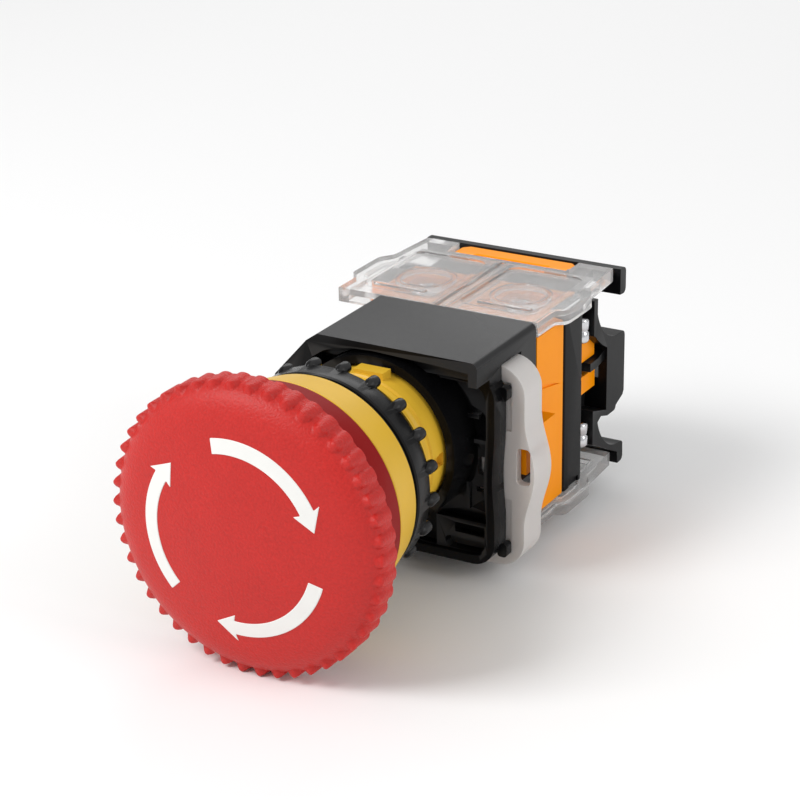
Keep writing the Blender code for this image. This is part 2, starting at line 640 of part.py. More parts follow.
def make_cover(end, name, parent):
    """A clear shell over the terminals of both contact housings, open underneath."""
    half_height = COVER_TOP_Z - BLOCK_Z
    rim_height = COVER_RIM_Z - BLOCK_Z
    zs = sorted((BLOCK_Z + end * rim_height, BLOCK_Z + end * half_height))
    shell = add(name, prism(cover_outline(), "Z", zs[0], zs[1]), "clear", parent=parent)
    hollow = cover_outline(-COVER_WALL)
    hollow = [(x, min(y, 52.4)) for x, y in hollow]
    zs = sorted((BLOCK_Z + end * (rim_height - 1), BLOCK_Z + end * (half_height - COVER_WALL)))
    change(shell, cutter(f"{name}_hollow", prism(hollow, "Z", zs[0], zs[1])))
    xs = (-9.8, 9.8)
    zs = sorted((BLOCK_Z + end * (rim_height - 1), BLOCK_Z + end * (half_height + 1)))
    change(shell, cutter(f"{name}_rear_notch", box((xs[0], 53.0, zs[0]), (xs[1], 58.0, zs[1]))))


def main():
    for old in list(bpy.data.objects):
        bpy.data.objects.remove(old)
    push_axis = empty("push_axis", (0.0, 0.0, 0.0))
    twist_axis = empty("twist_axis", (0.0, 0.0, 0.0))
    nut_axis = empty("nut_axis", (0.0, 0.0, 0.0))
    make_cap(twist_axis)
    for number in range(3):
        make_arrow(number, twist_axis)
    make_collar()
    make_nut(nut_axis)
    make_operator(push_axis)
    make_base()
    make_lever(empty("lever_slide", (LEVER_REACH, LEVER_FRONT_Y, 0.0)))
    for side, kind in ((1, "no"), (-1, "nc")):
        block_side(side, f"contact_housing_{kind}")
        make_contact(side, kind, empty(f"plunger_axis_{kind}", (side * PLUNGER_X, 23.0, BLOCK_Z)))
        for end, word in ((1, "upper"), (-1, "lower")):
            make_fixed_contact(side, end, f"fixed_contact_{kind}_{word}")
            make_terminal(side, end, f"{kind}_{word}")
        make_side_bar(side, f"side_bar_{'right' if side > 0 else 'left'}")
    make_rear_plate()
    make_release_tab()
    make_cover(1, "terminal_cover_upper", empty("upper_cover_slide", (0.0, 44.0, COVER_RIM_Z)))
    lower_rim = 2 * BLOCK_Z - COVER_RIM_Z
    make_cover(-1, "terminal_cover_lower", empty("lower_cover_slide", (0.0, 44.0, lower_rim)))


main()
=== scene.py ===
"""Looks of a panel-mounted emergency stop button: red twist-release head, yellow bezel, black base with a
milky lock lever, orange contact blocks under clear covers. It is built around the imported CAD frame.

Lengths in this file are millimetres, and make() turns them into metres. The frame is the CAD's: the head
faces -Y, +Z is up, +X is towards the lock lever, and Y is measured from the panel's front face.
"""
import math

import bmesh
import bpy
from mathutils import Matrix, Vector


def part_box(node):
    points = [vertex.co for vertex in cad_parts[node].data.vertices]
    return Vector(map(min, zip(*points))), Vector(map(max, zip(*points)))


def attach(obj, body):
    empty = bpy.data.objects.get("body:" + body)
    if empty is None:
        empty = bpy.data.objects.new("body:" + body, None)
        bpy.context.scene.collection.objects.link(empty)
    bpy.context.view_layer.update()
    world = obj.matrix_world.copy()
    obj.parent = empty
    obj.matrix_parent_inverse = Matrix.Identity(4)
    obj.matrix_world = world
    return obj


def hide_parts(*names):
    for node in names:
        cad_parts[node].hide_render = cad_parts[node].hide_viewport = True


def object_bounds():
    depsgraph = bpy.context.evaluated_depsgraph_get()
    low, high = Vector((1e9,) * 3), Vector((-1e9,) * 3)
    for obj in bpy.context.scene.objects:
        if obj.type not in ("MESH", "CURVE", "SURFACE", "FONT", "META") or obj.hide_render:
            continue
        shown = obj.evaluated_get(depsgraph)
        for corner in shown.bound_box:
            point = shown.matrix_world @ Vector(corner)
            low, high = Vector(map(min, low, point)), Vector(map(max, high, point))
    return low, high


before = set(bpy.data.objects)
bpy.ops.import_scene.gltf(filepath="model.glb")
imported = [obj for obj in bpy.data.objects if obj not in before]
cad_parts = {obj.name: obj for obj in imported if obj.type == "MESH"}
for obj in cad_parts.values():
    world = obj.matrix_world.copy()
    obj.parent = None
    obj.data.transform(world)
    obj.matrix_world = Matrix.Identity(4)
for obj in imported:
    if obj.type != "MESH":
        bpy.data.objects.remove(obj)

MM = 0.001
CAD_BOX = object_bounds()

# ---------------------------------------------------------------- camera

CAMERA_AZIMUTH = 30.06
CAMERA_ELEVATION = 22.27
CAMERA_ROLL = -0.90
CAMERA_DISTANCE = 289.3
CAMERA_LENS = 111.2
CAMERA_TARGET = (22.0, -17.0, 21.5)


def make_camera():
    """The camera, looking at its target from an azimuth (0 is the front) and an elevation."""
    azimuth, elevation = math.radians(CAMERA_AZIMUTH), math.radians(CAMERA_ELEVATION)
    back = Vector((math.sin(azimuth) * math.cos(elevation), -math.cos(azimuth) * math.cos(elevation),
                   math.sin(elevation)))
    level = Vector((math.cos(azimuth), math.sin(azimuth), 0.0))
    upright = back.cross(level)
    roll = math.radians(CAMERA_ROLL)
    right = level * math.cos(roll) + upright * math.sin(roll)
    up = upright * math.cos(roll) - level * math.sin(roll)
    lens = bpy.data.cameras.new("camera")
    lens.lens = CAMERA_LENS
    lens.clip_start = 0.01
    camera = bpy.data.objects.new("camera", lens)
    turn = Matrix((right, up, back)).transposed().to_4x4()
    place = Vector(CAMERA_TARGET) * MM + back * CAMERA_DISTANCE * MM
    camera.matrix_world = Matrix.Translation(place) @ turn
    bpy.context.scene.collection.objects.link(camera)
    bpy.context.scene.camera = camera


make_camera()


def span(node):
    """Lowest and highest corners of a CAD node, in millimetres."""
    low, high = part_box(node)
    return Vector(low) / MM, Vector(high) / MM


# ---------------------------------------------------------------- materials

def add_node(tree, kind, inputs=None, **settings):
    """A shader node with its settings, and its inputs set to a value or linked to a socket."""
    node = tree.nodes.new("ShaderNode" + kind)
    for name, value in settings.items():
        setattr(node, name, value)
    for name, value in (inputs or {}).items():
        if isinstance(value, bpy.types.NodeSocket):
            tree.links.new(value, node.inputs[name])
        else:
            node.inputs[name].default_value = value
    return node


def set_inputs(material, **values):
    """Plain numbers on the material's Principled shader, by socket name with _ for a space."""
    shader = material.node_tree.nodes["Principled BSDF"]
    for name, value in values.items():
        shader.inputs[name.replace("_", " ")].default_value = value
    return material


def tinted(colour, factor, lift=0.0):
    """The colour made lighter or darker, as RGBA."""
    return (*[min(1.0, c * factor + lift) for c in colour], 1.0)


def speckled(tree, painted, grain, amount):
    """The painted colour, lighter and darker with the grain."""
    dots = add_node(tree, "MapRange", {"Value": grain, "From Min": 0.3, "From Max": 0.7,
                                       "To Min": 1 - amount, "To Max": 1 + amount})
    shaded = add_node(tree, "VectorMath", {0: painted, "Scale": dots.outputs["Result"]}, operation="SCALE")
    return shaded.outputs["Vector"]


def edge_highlighted(tree, painted, colour, amount):
    """The given colour, made lighter along convex edges as a painted highlight."""
    form = add_node(tree, "NewGeometry")
    mask = add_node(tree, "MapRange", {"Value": form.outputs["Pointiness"], "From Min": 0.53,
                                       "From Max": 0.62, "To Max": amount})
    light = add_node(tree, "Mix", {"Factor": mask.outputs["Result"], "A": painted,
                                   "B": tinted(colour, 1.6, 0.05)}, data_type="RGBA")
    return light.outputs["Result"]


def surface(name, colour, roughness, shade=0.10, patch=4.0, grain=0.35, relief=0.012, metallic=0.0,
            specular=0.5, edge=0.0, speckle=0.0, rough_swing=0.06, stretch=(1.0, 1.0, 1.0)):
    """A Principled material whose colour, roughness and relief come from layered noise.

    patch and grain are the sizes of the slow colour drift and of the moulded grain, relief is the grain's
    depth, and edge is the strength of a painted highlight along convex edges. stretch draws the grain out
    along an axis.
    """
    made = bpy.data.materials.new(name)
    made.use_nodes = True
    tree = made.node_tree
    place = add_node(tree, "TexCoord").outputs["Object"]
    drift = add_node(tree, "TexNoise", {"Vector": place, "Scale": 1 / (patch * MM), "Detail": 4.0})
    drawn = add_node(tree, "Mapping", {"Vector": place, "Scale": stretch})
    fine = add_node(tree, "TexNoise", {"Vector": drawn.outputs["Vector"], "Scale": 1 / (grain * MM),
                                       "Detail": 3.0, "Roughness": 0.6}).outputs["Fac"]
    tone = add_node(tree, "Mix", {"Factor": drift.outputs["Fac"], "A": tinted(colour, 1 - shade),
                                  "B": tinted(colour, 1 + shade)}, data_type="RGBA")
    painted = tone.outputs["Result"]
    if speckle:
        painted = speckled(tree, painted, fine, speckle)
    # edge adds a painted highlight: a lighter grey mixed in along convex edges
    if edge:
        painted = edge_highlighted(tree, painted, colour, edge)
    rough = add_node(tree, "MapRange", {"Value": fine, "To Min": max(0.02, roughness - rough_swing),
                                        "To Max": roughness + rough_swing})
    bump = add_node(tree, "Bump", {"Height": fine, "Strength": 1.0, "Distance": relief * MM})
    shader = tree.nodes["Principled BSDF"]
    tree.links.new(painted, shader.inputs["Base Color"])
    tree.links.new(rough.outputs["Result"], shader.inputs["Roughness"])
    tree.links.new(bump.outputs["Normal"], shader.inputs["Normal"])
    return set_inputs(made, Metallic=metallic, Specular_IOR_Level=specular)


RED = (0.52, 0.020, 0.016)
DARK_RED = (0.26, 0.008, 0.008)
YELLOW = (0.76, 0.46, 0.035)
ORANGE = (1.0, 0.31, 0.0015)
BLACK = (0.0045, 0.0045, 0.005)


def make_materials():
    """Every material by its short name."""
    made = {
        "red": surface("red_grained_plastic", RED, 0.42, 0.08, 5.0, 0.34, 0.09, specular=0.30, speckle=0.10,
                       rough_swing=0.10),
        "dark_red": surface("dark_red_satin_plastic", DARK_RED, 0.40, 0.10, 6.0, 0.5, 0.006, specular=0.05),
        "white": surface("white_inlay_plastic", (0.82, 0.82, 0.79), 0.45, 0.04, 2.0, 0.3, 0.010),
        "yellow": surface("yellow_satin_plastic", YELLOW, 0.38, 0.08, 6.0, 0.4, 0.006, specular=0.25),
        # edge on the black materials paints a highlight along their convex edges
        "black": surface("black_nylon", BLACK, 0.24, 0.25, 3.0, 0.6, 0.0015, specular=0.10, edge=0.5),
        "black_nut": surface("black_gloss_nylon", BLACK, 0.24, 0.25, 2.0, 0.6, 0.0015, specular=0.15,
                             edge=0.4),
        "black_matt": surface("black_moulding", BLACK, 0.32, 0.25, 3.0, 0.5, 0.003, specular=0.10, edge=0.4),
        "rubber": surface("seal_rubber", (0.015, 0.015, 0.015), 0.75, 0.3, 1.5, 0.2, 0.02),
        "orange": surface("orange_plastic", ORANGE, 0.36, 0.06, 5.0, 0.4, 0.006, specular=0.08),
        "brass": surface("brass_strip", (0.70, 0.48, 0.18), 0.26, 0.15, 2.0, 0.25, 0.004, metallic=1.0,
                         stretch=(1.0, 1.0, 0.12)),
        "steel": surface("plated_steel", (0.66, 0.66, 0.68), 0.20, 0.12, 1.5, 0.3, 0.004, metallic=1.0),
    }
    milky = surface("milky_lever_plastic", (0.76, 0.73, 0.71), 0.40, 0.05, 4.0, 0.4, 0.006)
    made["milky"] = set_inputs(milky, Subsurface_Weight=0.45, Subsurface_Scale=0.0012,
                               Subsurface_Radius=(1.0, 0.95, 0.9), Transmission_Weight=0.25, IOR=1.35)
    clear = surface("clear_polycarbonate", (0.94, 0.935, 0.93), 0.09, 0.03, 5.0, 1.2, 0.010, rough_swing=0.03)
    made["clear"] = set_inputs(clear, Transmission_Weight=0.80, IOR=1.34)
    return made


MATERIALS = make_materials()

# ---------------------------------------------------------------- mesh tools

def arc(centre, radius, start_deg, end_deg, steps):
    """Points along a circular arc, both ends included."""
    angles = [math.radians(start_deg + (end_deg - start_deg) * i / steps) for i in range(steps + 1)]
    return [(centre[0] + radius * math.cos(a), centre[1] + radius * math.sin(a)) for a in angles]


def bezier(a, b, c, d, steps):
    """Points on a cubic curve, without its first point."""
    points = []
    for i in range(1, steps + 1):
        t = i / steps
        w = ((1 - t) ** 3, 3 * t * (1 - t) ** 2, 3 * t * t * (1 - t), t ** 3)
        points.append(tuple(w[0] * p + w[1] * q + w[2] * r + w[3] * s for p, q, r, s in zip(a, b, c, d)))
    return points


def rounded(low, high, radius, steps=6):
    """A rectangle with round corners, counter-clockwise."""
    corners = ((high[0], high[1], 0), (low[0], high[1], 90), (low[0], low[1], 180), (high[0], low[1], 270))
    points = []
    for x, y, start in corners:
        centre = (x - math.copysign(radius, x - (low[0] + high[0]) / 2),
                  y - math.copysign(radius, y - (low[1] + high[1]) / 2))
        points += arc(centre, radius, start, start + 90, steps)
    return points


def lathe(profile, steps=160, shape=None, centre=(0.0, 0.0)):
    """Turns a closed loop of (radius, y) points about +Y.

    shape(radius, y, angle, row), if given, moves a point by giving its new radius and y.
    """
    mesh = bmesh.new()
    rings = []
    for row, (radius, y) in enumerate(profile):
        count = 1 if radius < 1e-6 else steps
        ring = []
        for i in range(count):
            angle = 2 * math.pi * i / steps
            r, along = shape(radius, y, angle, row) if shape and count > 1 else (radius, y)
            spot = (centre[0] + r * math.cos(angle), along, centre[1] + r * math.sin(angle))
            ring.append(mesh.verts.new(spot))
        rings.append(ring)
    for here, there in zip(rings, rings[1:] + rings[:1]):
        if len(here) == 1 and len(there) == 1:
            continue
        for i in range(steps):
            j = (i + 1) % steps
            corners = [here[i % len(here)], here[j % len(here)], there[j % len(there)], there[i % len(there)]]
            mesh.faces.new(list(dict.fromkeys(corners)))
    return mesh


def prism(outline, axis, low, high):
    """A straight extrusion of an outline along X, Y or Z; its coordinates are the other two axes in order."""
    mesh = bmesh.new()
    index = "XYZ".index(axis)

    def point(pair, along):
        values = list(pair)
        values.insert(index, along)
        return mesh.verts.new(values)

    bottom = [point(pair, low) for pair in outline]
    top = [point(pair, high) for pair in outline]
    mesh.faces.new(bottom)
    mesh.faces.new(top)
    for i in range(len(outline)):
        j = (i + 1) % len(outline)
        mesh.faces.new((bottom[i], bottom[j], top[j], top[i]))
    return mesh


def box(low, high):
    """A box between two opposite corners."""
    corners = [(low[0], low[1]), (high[0], low[1]), (high[0], high[1]), (low[0], high[1])]
    return prism(corners, "Z", low[2], high[2])


def slab(x, y, z):
    """A box from three (one end, other end) pairs, in either order."""
    pairs = [sorted(pair) for pair in (x, y, z)]
    return box([p[0] for p in pairs], [p[1] for p in pairs])


def rod(radius, low_y, high_y, centre=(0.0, 0.0), steps=48):
    """A cylinder along Y, centred at (x, z)."""
    return lathe([(0.0, low_y), (radius, low_y), (radius, high_y), (0.0, high_y)], steps, None, centre)


def post(radius, x, y, z, steps=32):
    """A cylinder along Z between the two heights in z."""
    ring = arc((x, y), radius, 0, 360 - 360 / steps, steps - 1)
    return prism(ring, "Z", *sorted(z))


def to_object(mesh, name):
    """A metre-scale object from a millimetre bmesh, faces turned outwards."""
    bmesh.ops.remove_doubles(mesh, verts=mesh.verts, dist=1e-4)
    bmesh.ops.recalc_face_normals(mesh, faces=mesh.faces)
    mesh.transform(Matrix.Scale(MM, 4))
    data = bpy.data.meshes.new(name)
    mesh.to_mesh(data)
    mesh.free()
    made = bpy.data.objects.new(name, data)
    bpy.context.scene.collection.objects.link(made)
    return made


def carve(body, steps):
    """Applies ("cut" or "join", bmesh) steps to a bmesh by exact Booleans, and gives the result."""
    target = to_object(body, "carving")
    tools = []
    for kind, tool in steps:
        helper = to_object(tool, "tool")
        tools.append(helper)
        boolean = target.modifiers.new("step", "BOOLEAN")
        boolean.operation = "DIFFERENCE" if kind == "cut" else "UNION"
        boolean.object = helper
        boolean.solver = "EXACT"
    bpy.context.view_layer.update()
    evaluated = target.evaluated_get(bpy.context.evaluated_depsgraph_get())
    result = bmesh.new()
    result.from_mesh(evaluated.to_mesh())
    evaluated.to_mesh_clear()
    result.transform(Matrix.Scale(1 / MM, 4))
    for helper in tools + [target]:
        data = helper.data
        bpy.data.objects.remove(helper)
        bpy.data.meshes.remove(data)
    return result


def make(name, mesh, body, material, nodes, bevel=0.0, segments=3, sharp=35.0):
    """A finished piece: shading, round edges, material, and its place in the frame."""
    made = to_object(mesh, name)
    made.data.materials.append(MATERIALS[material])
    made.data.shade_smooth()
    made.data.set_sharp_from_angle(angle=math.radians(sharp))
    if bevel:
        for edge in made.data.edges:
            edge.use_edge_sharp = False
        rounding = made.modifiers.new("edges", "BEVEL")
        rounding.width = bevel * MM
        rounding.segments = segments
        rounding.limit_method = "ANGLE"
        rounding.angle_limit = math.radians(32)
        rounding.use_clamp_overlap = True
        rounding.harden_normals = True
        rounding.miter_outer = "MITER_ARC"
    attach(made, body)
    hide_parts(*nodes)
    return made


def mirrored(mesh, plane_z):
    """The bmesh turned over about a horizontal plane."""
    for vertex in mesh.verts:
        vertex.co.z = 2 * plane_z - vertex.co.z
    return mesh


# ---------------------------------------------------------------- head

CAP_LOW, CAP_HIGH = span("mushroom_cap")
CAP_POLE = CAP_LOW.y
CAP_BACK = CAP_HIGH.y
TEETH = 46
TOOTH_SAMPLES = 14
TOOTH_ROUNDNESS = 0.65  # power of the tooth's cross-section, lower is fuller
TOOTH_HEIGHT = 0.95  # of the noses; the ridges behind them sink to REAR_HEIGHT
REAR_HEIGHT = 0.36
NOSE_RADIUS = 18.75  # where the teeth rise out of the shoulder
NOSE_LENGTH = 0.8
RIDGE_LENGTH = 2.2
NOSE_LEAN = 0.3  # how far a tooth reaches forward for its height
FACE_RADIUS = 14.2
DOME = 0.0065
VALLEY_RADIUS = CAP_HIGH.x - REAR_HEIGHT
RIM_Y = CAP_POLE + 5.2  # where the shoulder meets the straight side
SHOULDER_PULL = 3.0  # length of the shoulder curve's handle at the face
BACK_CHAMFER = 0.25
CAP_HOLLOW = ((18.0, CAP_BACK), (17.9, -16.4), (17.3, -17.3), (15.0, -18.2), (12.0, -18.9), (6.0, -19.3))
STEM_SOCKET = ((6.0, -15.6), (3.4, -15.6), (3.4, -20.0), (0.0, -20.0))


def face_y(radius):
    """The domed face."""
    return CAP_POLE + DOME * radius * radius


def cap_profile():
    """Outer surface from the pole to the back edge, in the valleys between the teeth."""
    face = [(r, face_y(r)) for r in [FACE_RADIUS * i / 12 for i in range(13)]]
    edge = face[-1]
    slope = 2 * DOME * FACE_RADIUS
    leave = (edge[0] + SHOULDER_PULL, edge[1] + SHOULDER_PULL * slope)
    shoulder = bezier(edge, leave, (VALLEY_RADIUS - 0.45, RIM_Y - 2.6), (VALLEY_RADIUS, RIM_Y), 26)
    side = [(VALLEY_RADIUS, RIM_Y + (CAP_BACK - BACK_CHAMFER - RIM_Y) * i / 6) for i in range(1, 7)]
    return face + shoulder + side


def tooth(turn, share):
    """Height share of a tooth at this turn of its pitch (0 is its ridge), share of the way into its nose."""
    foot = 0.12 + 0.22 * min(1.0, share * 1.25)
    reach = abs(turn - round(turn)) / foot
    return max(0.0, 1.0 - reach * reach) ** TOOTH_ROUNDNESS


def tooth_height(radius, run):
    """Height of a ridge, run millimetres along the outline from where the teeth begin."""
    share = min(1.0, max(0.0, run / NOSE_LENGTH))
    behind = min(1.0, max(0.0, run - NOSE_LENGTH) / RIDGE_LENGTH)
    sunk = TOOTH_HEIGHT + (REAR_HEIGHT - TOOTH_HEIGHT) * math.sqrt(behind)
    return min(sunk * math.sqrt(1 - (1 - share) ** 2), CAP_HIGH.x - radius), share


def build_cap():
    """The scalloped mushroom cap, hollow behind, with a socket for the stem."""
    outer = cap_profile()
    lengths = [0.0]
    for here, there in zip(outer, outer[1:]):
        lengths.append(lengths[-1] + math.dist(here, there))
    start = next(length for length, (radius, _) in zip(lengths, outer) if radius >= NOSE_RADIUS)
    back = [(VALLEY_RADIUS - 2 * BACK_CHAMFER, CAP_BACK), *CAP_HOLLOW, *STEM_SOCKET]

    def shape(radius, y, angle, row):
        if row >= len(outer) + 1 or radius < NOSE_RADIUS:
            return radius, y
        at = min(row, len(outer) - 1)
        height, share = tooth_height(radius, lengths[at] - start)
        if row >= len(outer):
            height -= 0.3
        height *= tooth(angle / (2 * math.pi) * TEETH, share)
        return radius + height, y - NOSE_LEAN * height

    mesh = lathe(outer + back, TEETH * TOOTH_SAMPLES, shape)
    make("grip_cap", mesh, "head", "red", ["mushroom_cap"], sharp=48)


ARROW_INNER, ARROW_OUTER = 11.3, 13.3
BARB_INNER, BARB_OUTER = 10.35, 14.3
ARROW_TIP_DEG = 15.9
ARROW_SPAN_DEG = 87.0
ARROW_NECK_DEG = 12.5
BARB_SWEEP_DEG = 1.2
ARROW_PROUD = 0.10
ARROW_DEPTH = 0.5
ARROW_STEPS = 40


def build_arrow(number):
    """A white arrow inlay, clockwise seen from the front, following the dome."""
    tip = math.radians(ARROW_TIP_DEG + 120 * number)
    neck = tip + math.radians(ARROW_NECK_DEG)
    barb = neck + math.radians(BARB_SWEEP_DEG)
    tail = tip + math.radians(ARROW_SPAN_DEG)
    middle = (ARROW_INNER + ARROW_OUTER) / 2
    sweep = [neck + (tail - neck) * i / ARROW_STEPS for i in range(ARROW_STEPS + 1)]
    mesh = bmesh.new()
    sides = []
    for lift in (ARROW_PROUD, -ARROW_DEPTH):
        def spot(radius, angle):
            return mesh.verts.new((radius * math.cos(angle), face_y(radius) - lift, radius * math.sin(angle)))
        inner = [spot(ARROW_INNER, a) for a in sweep]
        outer = [spot(ARROW_OUTER, a) for a in sweep]
        head = [spot(BARB_INNER, barb), spot(middle, tip), spot(BARB_OUTER, barb)]
        for i in range(ARROW_STEPS):
            mesh.faces.new((inner[i], inner[i + 1], outer[i + 1], outer[i]))
        mesh.faces.new((inner[0], head[1], head[0]))
        mesh.faces.new((outer[0], head[2], head[1]))
        mesh.faces.new((inner[0], outer[0], head[1]))
        sides.append([head[1], head[2]] + outer + inner[::-1] + [head[0]])
    for i in range(len(sides[0])):
        j = (i + 1) % len(sides[0])
        mesh.faces.new((sides[0][i], sides[0][j], sides[1][j], sides[1][i]))
    name = f"arrow_{number + 1}"
    make(name, mesh, "head", "white", [f"arrow_inlay_{number + 1}"], bevel=0.12, segments=2)


# ---------------------------------------------------------------- bezel, barrel and nut

SKIRT_LOW, SKIRT_HIGH = span("guard_skirt")
BEZEL_LOW, BEZEL_HIGH = span("bezel_barrel")
GASKET_LOW, GASKET_HIGH = span("panel_gasket")
CONE_TAPER = 0.225
SPLIT_RADIUS = BEZEL_HIGH.x
BEZEL_REAR = GASKET_LOW.y - 0.15
BARREL_RADIUS = 11.0
BARREL_BORE = 8.6
STEM_HOLE = 5.1
THREAD_PITCH = 1.5
THREAD_DEPTH = 0.42
THREAD_END = 9.6
COLLAR_END = 13.1
BARREL_FLOOR = -5.2  # front end of the barrel's bore
THREAD_ROWS = 64
KEY = ((-1.2, 3.3), (COLLAR_END - 2.2, COLLAR_END - 0.1), (10.2, 11.5))
SIDE_NOTCH = ((9.9, 12.0), (COLLAR_END - 2.4, COLLAR_END + 0.4), (-0.9, 0.9))


def cone_radius(y):
    """Radius of the shared cone of the skirt and the bezel."""
    return SPLIT_RADIUS - CONE_TAPER * (y - BEZEL_LOW.y)


def build_skirt():
    """The dark red guard ring behind the cap."""
    front, rear = SKIRT_LOW.y, SKIRT_HIGH.y
    profile = [(cone_radius(front) - 0.5, front), (cone_radius(front) - 0.12, front + 0.12),
               (cone_radius(front + 0.5), front + 0.5), (cone_radius(rear - 0.1), rear - 0.1),
               (cone_radius(rear) - 0.1, rear), (13.2, rear), (13.7, front)]
    make("skirt_ring", lathe(profile, 192), "frame", "dark_red", ["guard_skirt"])


def build_bezel():
    """The yellow cone and the threaded barrel behind it, with its key and its side notch."""
    front = BEZEL_LOW.y
    thread_start = GASKET_HIGH.y + 0.3
    thread = [(BARREL_RADIUS, thread_start + (THREAD_END - thread_start) * i / THREAD_ROWS)
              for i in range(THREAD_ROWS + 1)]
    profile = [(cone_radius(front) - 0.1, front), (cone_radius(front), front + 0.1),
               (cone_radius(BEZEL_REAR - 0.25), BEZEL_REAR - 0.25),
               (cone_radius(BEZEL_REAR) - 0.25, BEZEL_REAR), (BARREL_RADIUS, BEZEL_REAR)]
    first = len(profile)
    profile += thread
    last = len(profile) - 1
    profile += [(BARREL_RADIUS - 0.25, THREAD_END + 0.2), (BARREL_RADIUS - 0.25, THREAD_END + 0.7),
                (BARREL_RADIUS, THREAD_END + 0.9), (BARREL_RADIUS, COLLAR_END - 1.1),
                (BARREL_RADIUS - 0.18, COLLAR_END - 0.95), (BARREL_RADIUS - 0.18, BEZEL_HIGH.y - 0.3),
                (BARREL_RADIUS - 0.5, BEZEL_HIGH.y), (BARREL_BORE, BEZEL_HIGH.y), (BARREL_BORE, BARREL_FLOOR),
                (STEM_HOLE, BARREL_FLOOR), (STEM_HOLE, front)]

    def shape(radius, y, angle, row):
        if first <= row <= last:
            turn = (y / THREAD_PITCH - angle / (2 * math.pi)) % 1.0
            fade = min(1.0, (row - first) / 6, (last - row) / 6)
            radius -= THREAD_DEPTH * fade * abs(2 * turn - 1)
        return radius, y

    mesh = carve(lathe(profile, 144, shape), [("join", slab(*KEY)), ("cut", slab(*SIDE_NOTCH))])
    make("bezel_and_barrel", mesh, "frame", "yellow", ["bezel_barrel"], sharp=30)
    low, high = GASKET_LOW, GASKET_HIGH
    seal = [(high.x - 0.15, low.y), (high.x, low.y + 0.15), (high.x, high.y - 0.15), (high.x - 0.15, high.y),
            (BARREL_RADIUS + 0.15, high.y), (BARREL_RADIUS + 0.15, low.y)]
    make("seal_ring", lathe(seal, 160), "frame", "rubber", ["panel_gasket"])


NUT_LOW, NUT_HIGH = span("panel_nut")
NUT_BORE = BARREL_RADIUS + 0.3
NUBS = 20
NUB_RADIUS = 0.85
NUB_REACH = 15.2
NUB_PHASE = 0.68
NUT_BAND = 14.65
NUB_ROUND = 0.45  # radius of a nub's rear edge


def build_nut():
    """Panel nut: a broad front band, a darker rear chamfer, and capsule nubs around the step."""
    front, rear = NUT_LOW.y, NUT_HIGH.y
    profile = [(NUT_BAND - 0.2, front), (NUT_BAND, front + 0.2), (NUT_BAND, front + 2.9),
               (NUT_BAND - 0.12, front + 3.1), (NUT_BAND - 0.45, front + 3.3), (NUT_BAND - 1.0, rear - 0.25),
               (NUT_BAND - 1.25, rear), (NUT_BORE + 0.3, rear), (NUT_BORE, rear - 0.3),
               (NUT_BORE, front + 0.3), (NUT_BORE + 0.3, front)]
    steps = []
    for number in range(NUBS):
        angle = 2 * math.pi * (number + NUB_PHASE) / NUBS
        reach = NUB_REACH - NUB_RADIUS
        centre = (reach * math.cos(angle), reach * math.sin(angle))
        capsule = [(0.0, front + 2.3), (NUB_RADIUS * 0.4, front + 2.4), (NUB_RADIUS * 0.85, front + 2.9),
                   (NUB_RADIUS, front + 3.3), (NUB_RADIUS, rear - 0.35)]
        capsule += arc((NUB_RADIUS - NUB_ROUND, rear - 0.35), NUB_ROUND, 0, 90, 4)[1:]
        capsule += [(0.0, rear + 0.1)]
        steps.append(("join", lathe(capsule, 20, None, centre)))
    mesh = carve(lathe(profile, 160), steps)
    make("nut_with_grips", mesh, "nut", "black_nut", ["panel_nut"], sharp=38)


# ---------------------------------------------------------------- base housing

BASE_LOW, BASE_HIGH = span("base_housing")
LEVER_LOW, LEVER_HIGH = span("lock_lever")
HOUSING_LOW, HOUSING_HIGH = span("contact_housing_no")
HOOD_FRONT = BASE_LOW.y
BASE_REAR = BASE_HIGH.y
HOOD_TOP = BASE_HIGH.z
TRAY_HALF = BASE_HIGH.x
BASE_BOTTOM = BASE_LOW.z
BLOCK_HALF = HOUSING_HIGH.x
TRAY_FRONT = 17.6
TRAY_REAR = 21.0
TRAY_TOP = 10.8
TRAY_CORNER = 3.4
TRAY_FLOOR = 19.9
SHELF_Y = 18.35
HOOD_CUT = ((-8.7, 14.0), (-10.4, 12.8), (-15.6, 7.0))  # the hood's upper left corner
HOOD_CORNER = 3.0
HOOD_EDGE = 0.9  # rounding of the hood's upper right corner
HOOD_WALL = 1.7
THUMB_Z = -4.0  # middle of the lever's thumb bulge
THUMB_DIP = 0.38  # how far the tray's edge draws in beside the bulge
THUMB_DIP_HALF = 7.0
TRAY_WALL = 1.25
BARREL_WELL = 12.6
MOUTH_LEFT = -9.5
LATCH_NUB_Z = (7.9, -14.9)  # two small nubs at the lever's side of the tray


def tray_outline(inset):
    """The tray seen from the front; its right edge is drawn in a little beside the thumb bulge."""
    half, corner = TRAY_HALF - inset, TRAY_CORNER - min(inset, 1.4) * 0.7
    top = TRAY_TOP - inset
    slope = (HOOD_CUT[1][1] - HOOD_CUT[2][1]) / (HOOD_CUT[1][0] - HOOD_CUT[2][0])
    cut_high = HOOD_CUT[2][0] + (TRAY_TOP - HOOD_CUT[2][1]) / slope + 0.6 * inset
    cut_low = HOOD_CUT[2][1] - slope * (TRAY_HALF - BLOCK_HALF) - 0.6 * inset
    bottom = BASE_BOTTOM + inset
    wave = []
    for i in range(17):
        z = THUMB_Z - THUMB_DIP_HALF + 2 * THUMB_DIP_HALF * i / 16
        wave.append((half - THUMB_DIP / 2 * (1 + math.cos(math.pi * (z - THUMB_Z) / THUMB_DIP_HALF)), z))
    return (arc((half - corner, bottom + corner), corner, -90, 0, 7) + wave
            + arc((half - corner, top - corner), corner, 0, 90, 7)
            + [(cut_high, top), (-half, cut_low)]
            + arc((-half + corner, bottom + corner), corner, 180, 270, 7))


